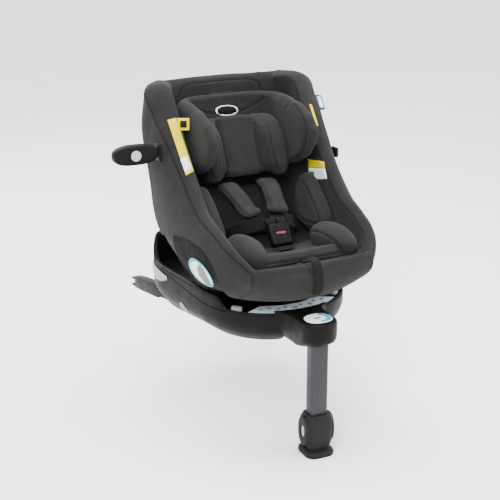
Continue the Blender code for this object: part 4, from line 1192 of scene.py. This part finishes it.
def seat_insert():
    """The seat cushion: a rolled front edge with a hollow behind it."""
    ts = np.concatenate([np.linspace(0.070, 0.19, 26), np.linspace(0.19, 0.42, 24)[1:]])
    vs = np.linspace(-0.80, 0.80, 72)
    t, v = np.meshgrid(ts, vs, indexing="ij")
    point, normal = on_bucket(t, v)
    roll = 0.020 * np.clip(1 - ((t - 0.118) / 0.052) ** 2, 0, 1) ** 0.5
    depth = np.maximum(0.0085 * smooth(0.070, 0.085, t) * (1 - smooth(0.39, 0.42, t)), roll) + 0.0006
    depth = depth * (1 - smooth(0.72, 0.80, np.abs(v)) * 0.85)
    top = point + normal * (0.0030 + depth)[..., None]
    low = point + normal * 0.0028
    grids = (low.reshape(-1, 3), top.reshape(-1, 3))
    obj = put("seat_insert_shown", *slab(*grids, len(ts) - 1, len(vs) - 1), INSERT)
    inflate(obj, voxel=0.0042, pressure=3.0, cap=0.003)
    apply(obj, "SMOOTH", factor=0.4, iterations=2)
    settle(obj, "seat", ("seat_insert",))
    return obj


insert = seat_insert()
lip_v = np.linspace(-0.76, 0.76, 60)
for name, t, lift in (("insert_piping_low", 0.0755, 0.011), ("insert_piping_high", 0.158, 0.018)):
    point, normal = on_bucket(np.full(60, t), lip_v)
    path = snap(insert, point + normal * lift)
    sew(insert, [path], depth=0.0022, width=0.0026, puff=0.0008)
    piping(name, insert, path, 0.0013, "seat")


THIGH_AT = np.array((0.1130, -0.1360, 0.2130))
THIGH_HALF = (0.035, 0.078, 0.040)
THIGH_OUT = unit((0.93, 0.10, 0.34))
THIGH_ALONG = unit((0.06, -0.995, 0.05))
THIGH_UP = np.cross(THIGH_ALONG, THIGH_OUT)
THIGH_POWER = 2.4


def thigh_lobe(side, sign):
    """A rounded bolster in the corner between the seat and the bucket's side."""
    out_way = THIGH_OUT * THIGH_HALF[0]
    along = THIGH_ALONG * THIGH_HALF[1]
    up_way = THIGH_UP * THIGH_HALF[2]
    loops = []
    for u in (-1.0, -0.985, -0.93, -0.82, -0.66, -0.45, -0.2, 0.1, 0.4, 0.7, 0.9, 1.0):
        share = max(0.03, (1 - abs(u) ** THIGH_POWER) ** (1 / THIGH_POWER))
        section = oval(share, share, 48, 2.3)
        loops.append([(THIGH_AT + out_way * u + along * y + up_way * z) * (sign, 1, 1) for y, z in section])
    name = f"thigh_lobe_{side}"
    obj = put(name, *lofted(loops), INSERT)
    inflate(obj, voxel=0.0048, pressure=4.0, cap=0.004)
    apply(obj, "SMOOTH", factor=0.5, iterations=3)
    rim = [THIGH_AT - out_way * 0.70 + along * y + up_way * z for y, z in oval(0.84, 0.84, 60, 2.3)]
    path = snap(obj, np.array(rim) * (sign, 1, 1))
    seams(f"{name}_seam", obj, [closed(path)], depth=0.0024, width=0.0022, puff=0.0008, body="seat")
    settle(obj, "seat")


PAD_LINE = mm(((52, 100, 298), (50, 70, 289), (44, 37, 274), (38.5, 8, 258), (30, -16, 251)))


def shoulder_pad(side, sign):
    """A flat harness pad with rounded ends."""
    path = spline((PAD_LINE + (0.0, -0.0056, 0.0100)) * (sign, 1, 1))
    along = unit(np.gradient(path, axis=0))
    across = [unit(np.array((1.0, 0, 0)) - a * a[0]) for a in along]
    section = []
    for a in np.linspace(0, 2 * math.pi, 29)[:-1]:
        section.append(superellipse(math.cos(a), math.sin(a), 0.5, 0.75))
    loops = []
    for k, (p, a, w) in enumerate(zip(path, along, across)):
        end = min(k, len(path) - 1 - k) / 3.0
        grow = min(1.0, 0.55 + 0.45 * (1 - (1 - min(end, 1.0)) ** 2) ** 0.5)
        n = np.cross(a, w)
        loops.append([p + w * x * 0.0260 * grow + n * y * 0.0072 * grow for x, y in section])
    obj = put(f"shoulder_pad_{side}_shown", *lofted(loops), INSERT)
    inflate(obj, voxel=0.0038, pressure=4.0, cap=0.003)
    settle(obj, "seat", (f"shoulder_pad_{side}",))
    forward = np.array((0, -0.008, 0.008))
    rims = []
    for share in (-1, 1):
        rims.append(snap(obj, [p + w * share * 0.0215 + forward for p, w in zip(path, across)]))
    seams(f"pad_seam_{side}", obj, rims, depth=0.0012, width=0.0022, puff=0.0004, body="seat", radius=0.0007)


for side, sign in SIDES:
    thigh_lobe(side, sign)
    body_bolster(side, sign)
for side, sign in SIDES:
    shoulder_pad(side, sign)

for sign in (1, -1):
    path = snap(pillow, [(0.050 * sign, head_back(z) - 0.056, z) for z in np.linspace(0.314, 0.458, 30)])
    sew(pillow, [path], depth=0.0075, width=0.0055, puff=0.0006)
    for name, x in (("seam", 0.066), ("edge", 0.104)):
        path = [(x * sign, head_back(z) - 0.105, z) for z in np.linspace(0.330, 0.444, 26)]
        name = f"pillow_{name}_{sign + 1}"
        path = snap(pillow, path)
        seams(name, pillow, [path], depth=0.0018, width=0.0024, puff=0.0006, body="headrest")
    zs = np.linspace(0.350, 0.492, 40)
    front = np.interp(zs, HEAD_ZS, HEAD_FRONT)
    wing = snap(headrest, [(0.112 * sign, y + 0.020, z) for y, z in zip(front, zs)])
    name = f"headrest_seam_{sign + 1}"
    seams(name, headrest, [wing], depth=0.0024, width=0.0026, puff=0.0008, body="headrest")
xs = np.linspace(-0.095, 0.095, 50)
yoke = snap(headrest, [(x, 0.19, 0.484 - 0.030 * (1 - (x / 0.095) ** 2)) for x in xs])
seams("headrest_yoke", headrest, [yoke], depth=0.0022, width=0.0026, puff=0.0006, body="headrest")

# ---------------------------------------------------------------- webbing


def strap(node, path, across, width, thick):
    """Webbing with rounded selvedges along a path."""
    path = spline(path)
    along = unit(np.gradient(path, axis=0))
    section = []
    for a in np.linspace(0, 2 * math.pi, 21)[:-1]:
        x, y = superellipse(math.cos(a), math.sin(a), 0.35, 0.8)
        section.append((x * width / 2, y * thick / 2 * (1.0 + 0.35 * abs(x) ** 8)))
    loops = []
    for p, a in zip(path, along):
        w = unit(across - a * np.dot(across, a))
        n = np.cross(a, w)
        loops.append([p + w * x + n * y for x, y in section])
    solid(f"{node}_shown", loops, BELT, 60, "seat", (node,))


BUCKLE = Vector((0.0, -0.0860, 0.2270))
BUCKLE_TILT = Matrix.Rotation(math.radians(-38), 3, "X")


def on_buckle(x, y, z):
    """A point given in the buckle's own tilted frame."""
    return np.array(BUCKLE + BUCKLE_TILT @ Vector((x, y, z)))


for side, sign in SIDES:
    mirror = (sign, 1, 1)
    path = mm(((52, 126, 306), (52, 118, 303), (50, 70, 289), (38, 5, 256), (17, -40, 246))) * mirror
    strap(f"shoulder_strap_{side}", path, across=(1, 0, 0), width=0.033, thick=0.0018)
    path = mm(((62, -34, 237), (85, 0, 216), (97, 26, 200))) * mirror
    path = [on_buckle(0.029 * sign, 0.002, 0.036), *path]
    strap(f"lap_strap_{side}", path, across=(0, 0.55, 0.83), width=0.031, thick=0.0018)
path = mm(((0, -121, 201.5), (0, -117, 204), (0, -111, 207)))
strap("crotch_strap", path, across=(1, 0, 0), width=0.038, thick=0.003)
path = mm(((0, -228, 217), (0, -254, 216.5), (0, -269, 204), (0, -272, 180), (0, -272, 160), (0, -264, 142)))
strap("adjuster_strap", path, across=(1, 0, 0), width=0.0210, thick=0.0018)

# ---------------------------------------------------------------- leg housing, clamp, foot

LEG_Y = -0.272


def leg_housing():
    """The nose that carries the leg: it flares out of the tub and narrows downwards into two cheeks."""
    levels = (
        (0.0150, 0.0300, 0.052, 0.052),
        (0.0215, 0.0340, 0.040, 0.038),
        (0.0280, 0.0370, 0.029, 0.024),
        (0.0345, 0.0392, 0.020, 0.011),
        (0.0405, 0.0406, 0.013, 0.003),
        (0.0470, 0.0414, 0.008, 0.0),
        (0.0560, 0.0420, 0.004, 0.0),
        (0.0700, 0.0420, 0.001, 0.0),
        (0.0820, 0.0418, 0.001, 0.0),
        (0.0858, 0.0408, 0.002, 0.0),
        (0.0874, 0.0392, 0.0035, 0.0),
        (0.0880, 0.0372, 0.0055, 0.0),
    )
    angles = np.radians(np.linspace(-19, 19, 25))
    room_at = (0.0, LEG_Y + 0.060, 0.0400)
    room_size = (0.0455, 0.162, 0.0810)
    loops = []
    for z, boss, inset, back in levels:
        radii = base_radius(np.abs(angles)) - inset + 0.0005
        start = [(r * math.sin(a), -r * math.cos(a)) for a, r in zip(angles, radii)]
        wide, flare_y = start[-1]
        turns = np.linspace(-0.25, math.pi + 0.25, 31)
        arc = [(boss * math.cos(a), LEG_Y + back - boss * math.sin(a)) for a in turns]
        edge = arc[0]
        bend = (edge[0] + (wide - edge[0]) * 0.25, flare_y + (edge[1] - flare_y) * 0.25)
        cheek = curve((0.0, 0.45, 1.0), ((wide, flare_y), bend, edge), np.linspace(0, 1, 10))[1:-1]
        outline = [*start, *cheek, *arc, *(cheek[::-1] * (-1, 1))]
        loops.append([(x, y, z) for x, y in outline])
    made = put("leg_housing_shown", *lofted(loops), BAND)
    carve(made, [cutter(*block(room_at, room_size, Matrix.Identity(3)))])
    settle(creases(made, 40), "base", ("leg_housing",))


leg_housing()


def plate(name, outline, z, thick, mat, hides=(), rim=0.0006):
    """A thin flat plate with a softened edge, on the leg housing."""
    outline = np.asarray(outline, float) + (0.0, LEG_Y)
    centre = outline.mean(axis=0)
    inner = centre + (outline - centre) * (1 - rim / np.linalg.norm(outline - centre, axis=1, keepdims=True))
    loops = raised(outline, (z, z + thick - rim)) + raised(inner, (z + thick,))
    solid(name, loops, mat, 30, "base", hides)


plate("leg_window_rim", oval(0.0340, 0.0290, 48, 2.3), 0.0880, 0.0012, DARK)
plate("leg_window_shown", oval(0.0318, 0.0268, 48, 2.3), 0.0885, 0.0015, WHITE, hides=("leg_window",))
blue = np.array([p for p in oval(0.0300, 0.0250, 96, 2.3) if p[0] > 0.002 + 0.35 * p[1]])
order = np.argsort(np.arctan2(blue[:, 1] - blue[:, 1].mean(), blue[:, 0] - blue[:, 0].mean()))
plate("leg_window_blue", blue[order], 0.0899, 0.0005, CYAN, rim=0.0002)
plate("leg_window_core", oval(0.0190, 0.0150, 40, 2.3) - (0.002, 0.0), 0.0901, 0.0005, WHITE, rim=0.0002)
plate("leg_window_slot", oval(0.0080, 0.0030, 24, 3.0) - (0.002, 0.0), 0.0904, 0.0005, DARK, rim=0.0002)


def bar_loop(width, depth, z, radius):
    """A rounded rectangle round the leg's axis."""
    points = []
    for cx, cy, start in ((1, 1, 0), (-1, 1, 90), (-1, -1, 180), (1, -1, 270)):
        for a in np.radians(start + np.linspace(0, 90, 7)):
            x = cx * (width / 2 - radius) + radius * math.cos(a)
            y = LEG_Y + cy * (depth / 2 - radius) + radius * math.sin(a)
            points.append((x, y, z))
    return points


foot = [
    bar_loop(0.046, 0.042, -0.2151, 0.010),
    bar_loop(0.047, 0.043, -0.2205, 0.010),
    bar_loop(0.058, 0.060, -0.2215, 0.017),
    bar_loop(0.064, 0.066, -0.2224, 0.019),
    bar_loop(0.068, 0.070, -0.2245, 0.020),
    bar_loop(0.070, 0.072, -0.2280, 0.021),
    bar_loop(0.070, 0.072, -0.2316, 0.021),
]
solid("leg_foot_shown", foot, CLAMP, 45, "leg_lower", ("leg_foot",))


def side_loop(x, flat, z):
    """An outline standing at x beside the leg."""
    return [(x, LEG_Y + a, z + b) for a, b in flat]


for side, sign in SIDES:
    loops = []
    for x, shrink in ((0.0270, 0.0), (0.0325, 0.0), (0.0342, 0.0010), (0.0352, 0.0030), (0.0356, 0.0060)):
        loops.append(side_loop(x * sign, oval(0.0235 - shrink, 0.0360 - shrink, 40, 2.3), -0.1755))
    boss = put(f"clamp_side_{side}", *lofted(loops), CLAMP)
    hole = oval(0.0092, 0.0152, 32, 2.4)
    carve(boss, [cutter(*lofted([side_loop(x * sign, hole, -0.176) for x in (0.0240, 0.0400)]))])
    settle(creases(boss, 40), "leg_upper")

# ---------------------------------------------------------------- labels


def on_shell(flat, sign):
    """Points and normals on the shell's side for rows of border share and loop level."""
    row = np.clip(flat[:, 0], 0, 1) * NU
    i = np.clip(row.astype(int), 0, NU - 1)
    f = (row - i)[:, None]
    level = flat[:, 1]
    found = []
    for stack in (OUTER, OUTER_N):
        found.append(at_level(stack, level, i) * (1 - f) + at_level(stack, level, i + 1) * f)
    flip = np.array((sign, 1.0, 1.0))
    return found[0] * flip, unit(found[1]) * flip


def disc_steps(thick):
    """Share of an outline and height, from a disc's middle underneath to its middle on top."""
    under = [(share, 0.0) for share in (0.02, 0.5, 1.0)]
    return under + [(1.0, thick * 0.7), (0.985, thick), (0.5, thick), (0.02, thick)]


def shell_label(name, outline, sign, lift, thick, mat, hides=()):
    """A thin label that follows the shell's side."""
    centre = outline.mean(axis=0)
    loops = []
    for share, height in disc_steps(thick):
        point, normal = on_shell(centre + (outline - centre) * share, sign)
        loops.append(point + normal * (lift + height))
    solid(name, loops, mat, 50, "seat", hides)


FLAP_OUTLINE = np.array((
    (0.225, 1.80), (0.240, 2.15), (0.262, 2.45), (0.300, 2.60),
    (0.318, 2.35), (0.312, 2.05), (0.290, 1.82), (0.262, 1.62),
))
VENT_MIDDLE = (0.520, 1.85)
VENT_HALF = (0.118, 0.86)
VENT_ANGLES = np.linspace(0, 2 * math.pi, 9)[:-1]
VENT_STEPS = ((0.00175, 0.0001), (0.00150, 0.0006), (0.00105, 0.0006), (0.00090, 0.0002))


def shell_vents(side, sign):
    """A staggered field of small dark dots on the shell's side, in an oval area: painted shade of its
    perforation holes.
    """
    verts, faces = [], []
    for r, level in enumerate(np.arange(1.05, 2.75, 0.145)):
        for t in np.arange(0.395, 0.66, 0.0100) + 0.0050 * (r % 2):
            off_t = (t - VENT_MIDDLE[0]) / VENT_HALF[0]
            off_level = (level - VENT_MIDDLE[1]) / VENT_HALF[1]
            if off_t**2 + off_level**2 >= 1:
                continue
            point, normal = on_shell(np.array([(t, level)]), sign)
            p, n = point[0], normal[0]
            u = unit(np.cross(n, (0, 0, 1.0)))
            w = np.cross(n, u)
            loops = []
            for radius, lift in VENT_STEPS:
                spokes = [(u * math.cos(a) + w * math.sin(a)) * radius for a in VENT_ANGLES]
                loops.append([p + n * lift + spoke for spoke in spokes])
            dot, dot_faces = lofted(loops)
            faces += [tuple(len(verts) + k for k in face) for face in dot_faces]
            verts += list(dot)
    settle(put(f"shell_vents_{side}", verts, faces, PERFORATION_SHADE), "seat")


for side, sign in SIDES:
    name = f"side_window_{side}"
    whole = oval(0.096, 0.66, 56, 2.1) + (0.312, 1.98)
    shell_label(f"{name}_rim", whole, sign, lift=0.0010, thick=0.0016, mat=CYAN)
    inside = oval(0.081, 0.54, 56, 2.1) + (0.304, 2.04)
    shell_label(f"{name}_shown", inside, sign, lift=0.0024, thick=0.0010, mat=WHITE, hides=(name,))
    shell_label(f"{name}_flap", FLAP_OUTLINE, sign, lift=0.0040, thick=0.0008, mat=FLAP)
    shell_vents(side, sign)

outer_arc = np.radians(np.linspace(-37, 37, 50))
inner_arc = np.radians(np.linspace(29, -29, 42))
for name, grow, z, mat, hides in (
    ("deck_label_rim", 0.0, 0.0002, CYAN, ()),
    ("deck_label_shown", 0.0028, 0.0011, LABEL_WITH_PAINTED_LIGHT, ("deck_label",)),
):
    high = 0.1905 - 0.0040 * (outer_arc / outer_arc[-1]) ** 2 - grow * 0.8
    low = 0.1425 + grow
    outline = [(r * math.sin(a), -r * math.cos(a)) for r, a in zip(high, outer_arc * (1 - grow * 7))]
    outline += [(low * math.sin(a), -low * math.cos(a)) for a in inner_arc * (1 - grow * 2)]
    loops = raised(outline, (DECK_Z + z, DECK_Z + z + 0.0008))
    solid(name, loops, mat, 40, "base", hides)

for number in range(9):
    radii = 0.1665 + 0.004 * (-1) ** number + oval(0.0075, 1.0, 20, 3.0)[:, 0]
    angles = math.radians(-28 + 7 * number) + oval(1.0, 0.034, 20, 3.0)[:, 1]
    flat = [(r * math.sin(a), -r * math.cos(a)) for r, a in zip(radii, angles)]
    made = put(f"deck_label_mark_{number}", *lofted(raised(flat, (DECK_Z + 0.0018, DECK_Z + 0.0022))), SKY)
    settle(made, "base")

# ---------------------------------------------------------------- tags


def grid_between(corners, rows=10, columns=6):
    """Evenly spread rows of points inside four corners given in turn."""
    a, b, c, d = (np.asarray(p, float) for p in corners)
    u = np.linspace(0, 1, columns + 1)[None, :, None]
    w = np.linspace(0, 1, rows + 1)[:, None, None]
    return (a * (1 - u) + b * u) * (1 - w) + (d * (1 - u) + c * u) * w


def cast(under, points):
    """Points moved along the viewing direction onto a piece's outside, and the normals there."""
    tree = search_tree(under)
    spots, normals = [], []
    toward = CAMERA_BACK.normalized()
    for p in points:
        spot, normal, _, _ = tree.ray_cast(Vector(p) + toward * 0.05, -toward)
        if spot is None or (spot - Vector(p)).length > 0.045:
            spot, normal, _, _ = tree.find_nearest(Vector(p))
        spots.append(spot)
        normals.append(normal if normal.dot(toward) > 0 else -normal)
    return np.array(spots), np.array(normals)


TAG_T = 0.0006


def tag(name, grid, mat, under=None, lift=0.0008):
    """A thin printed tag laid on a cushion, or standing free."""
    flat = grid.reshape(-1, 3)
    if under is None:
        across = np.cross(grid[0, -1] - grid[0, 0], grid[-1, 0] - grid[0, 0])
        normal = np.tile(unit(across), (len(flat), 1))
    else:
        flat, normal = cast(under, flat)
    grids = (flat + normal * lift, flat + normal * (lift + TAG_T))
    made = put(name, *slab(*grids, grid.shape[0] - 1, grid.shape[1] - 1), mat)
    settle(made, "seat")


strip = ((-0.191, 0.107, 0.473), (-0.169, 0.107, 0.476), (-0.167, 0.016, 0.371), (-0.189, 0.008, 0.366))
tag("tag_strip", grid_between(strip, 24, 6), YELLOW, cover)
lower = ((-0.1885, 0.040, 0.396), (-0.1695, 0.043, 0.401), (-0.1685, 0.022, 0.378), (-0.1880, 0.016, 0.372))
tag("tag_strip_panel", grid_between(lower, 6, 6), WHITE, cover, 0.0013)
square = mm(((-166, 105, 475), (-141.7, 93.2, 475), (-145.6, 85.2, 448.5), (-169.9, 97, 448.5)))
tag("tag_square", grid_between(square + np.array(CAMERA_BACK) * 0.011, 8, 8), YELLOW)
mark = square * 0.55 + square.mean(axis=0) * 0.45
tag("tag_square_mark", grid_between(mark + np.array(CAMERA_BACK) * 0.0115, 4, 4), DARK, None, -0.0010)
label = ((0.158, 0.072, 0.351), (0.166, 0.008, 0.358), (0.162, -0.016, 0.323), (0.156, 0.060, 0.303))
care = grid_between(label, 12, 12)
tag("tag_care_top", care[:6], YELLOW, cover)
tag("tag_care_low", care[5:], WHITE, cover)
tag("tag_care_mark", care[7:11, 1:5], GREEN, cover, 0.0014)
ribbon = ((0.177, 0.107, 0.477), (0.181, 0.100, 0.477), (0.179, 0.062, 0.432), (0.176, 0.068, 0.432))
tag("tag_ribbon", grid_between(ribbon, 10, 2), YELLOW, cover)
outside = ((0.211, 0.145, 0.492), (0.226, 0.134, 0.490), (0.222, 0.106, 0.461), (0.207, 0.112, 0.459))
outside = grid_between(outside, 8, 6)
tag("tag_outside", outside, DEEP_BLUE)
tag("tag_outside_mark", outside[1:-1, 2:6], WHITE, None, -0.0006)

PATCH_AT = np.array((-0.012, 0.172, 0.470))
PATCH_ACROSS = np.array((0.97, -0.10, 0.0))
PATCH_UP = np.array((0.0, 0.45, 0.89))
PATCH_T = 0.0008
PATCH_STEPS = [(share, 0.0) for share in (0.03, 0.5, 1.0)]
PATCH_STEPS += [(1.0, 0.0005), (0.97, PATCH_T), (0.5, PATCH_T), (0.03, PATCH_T)]
for name, grow, lift, mat in (("patch_rim", 1.0, 0.0010, WHITE), ("patch_blank", 0.86, 0.0020, DARK)):
    loops = []
    for share, height in PATCH_STEPS:
        flat = oval(0.029 * grow * share, 0.0130 * grow * share, 48)
        spots, normals = cast(headrest, [PATCH_AT + PATCH_ACROSS * x + PATCH_UP * z for x, z in flat])
        loops.append(spots + normals * (lift + height))
    settle(put(name, *lofted(loops), mat), "headrest")
loops = []
for lift, shrink in ((0.0, 0.0), (0.0010, 0.0), (0.0016, 0.0008)):
    flat = oval(0.0125 - shrink, 0.0032 - shrink, 24, 3.0)
    loops.append([on_buckle(x, -0.0107 - lift, 0.0015 + z) for x, z in flat])
solid("buckle_button_mark", loops, RED, 50, "buckle_button")


def adjuster_flap():
    """The fabric flap that covers the harness adjuster, laid on the cover from above."""
    tree = search_tree(cover)
    rows, columns = 14, 12
    low, top = [], []
    for i, y in enumerate(np.linspace(-0.2080, -0.2640, rows + 1)):
        half = 0.0245 * (1 - 0.35 * (i / rows) ** 3)
        for x in np.linspace(-half, half, columns + 1):
            spot, normal, _, _ = tree.ray_cast(Vector((x, y, 0.30)), Vector((0.0, 0.0, -1.0)))
            if spot is None:
                spot, normal, _, _ = tree.find_nearest(Vector((x, y, 0.205)))
            swell = 0.25 + 0.75 * math.sin(math.pi * min(1.0, 0.15 + i / rows)) ** 0.5
            rise = 0.0052 * (1 - (abs(x) / half) ** 3) * swell
            low.append(spot + normal * 0.0002)
            top.append(spot + normal * (0.0016 + rise))
    settle(put("adjuster_flap", *slab(low, top, rows, columns), FABRIC), "seat")


adjuster_flap()
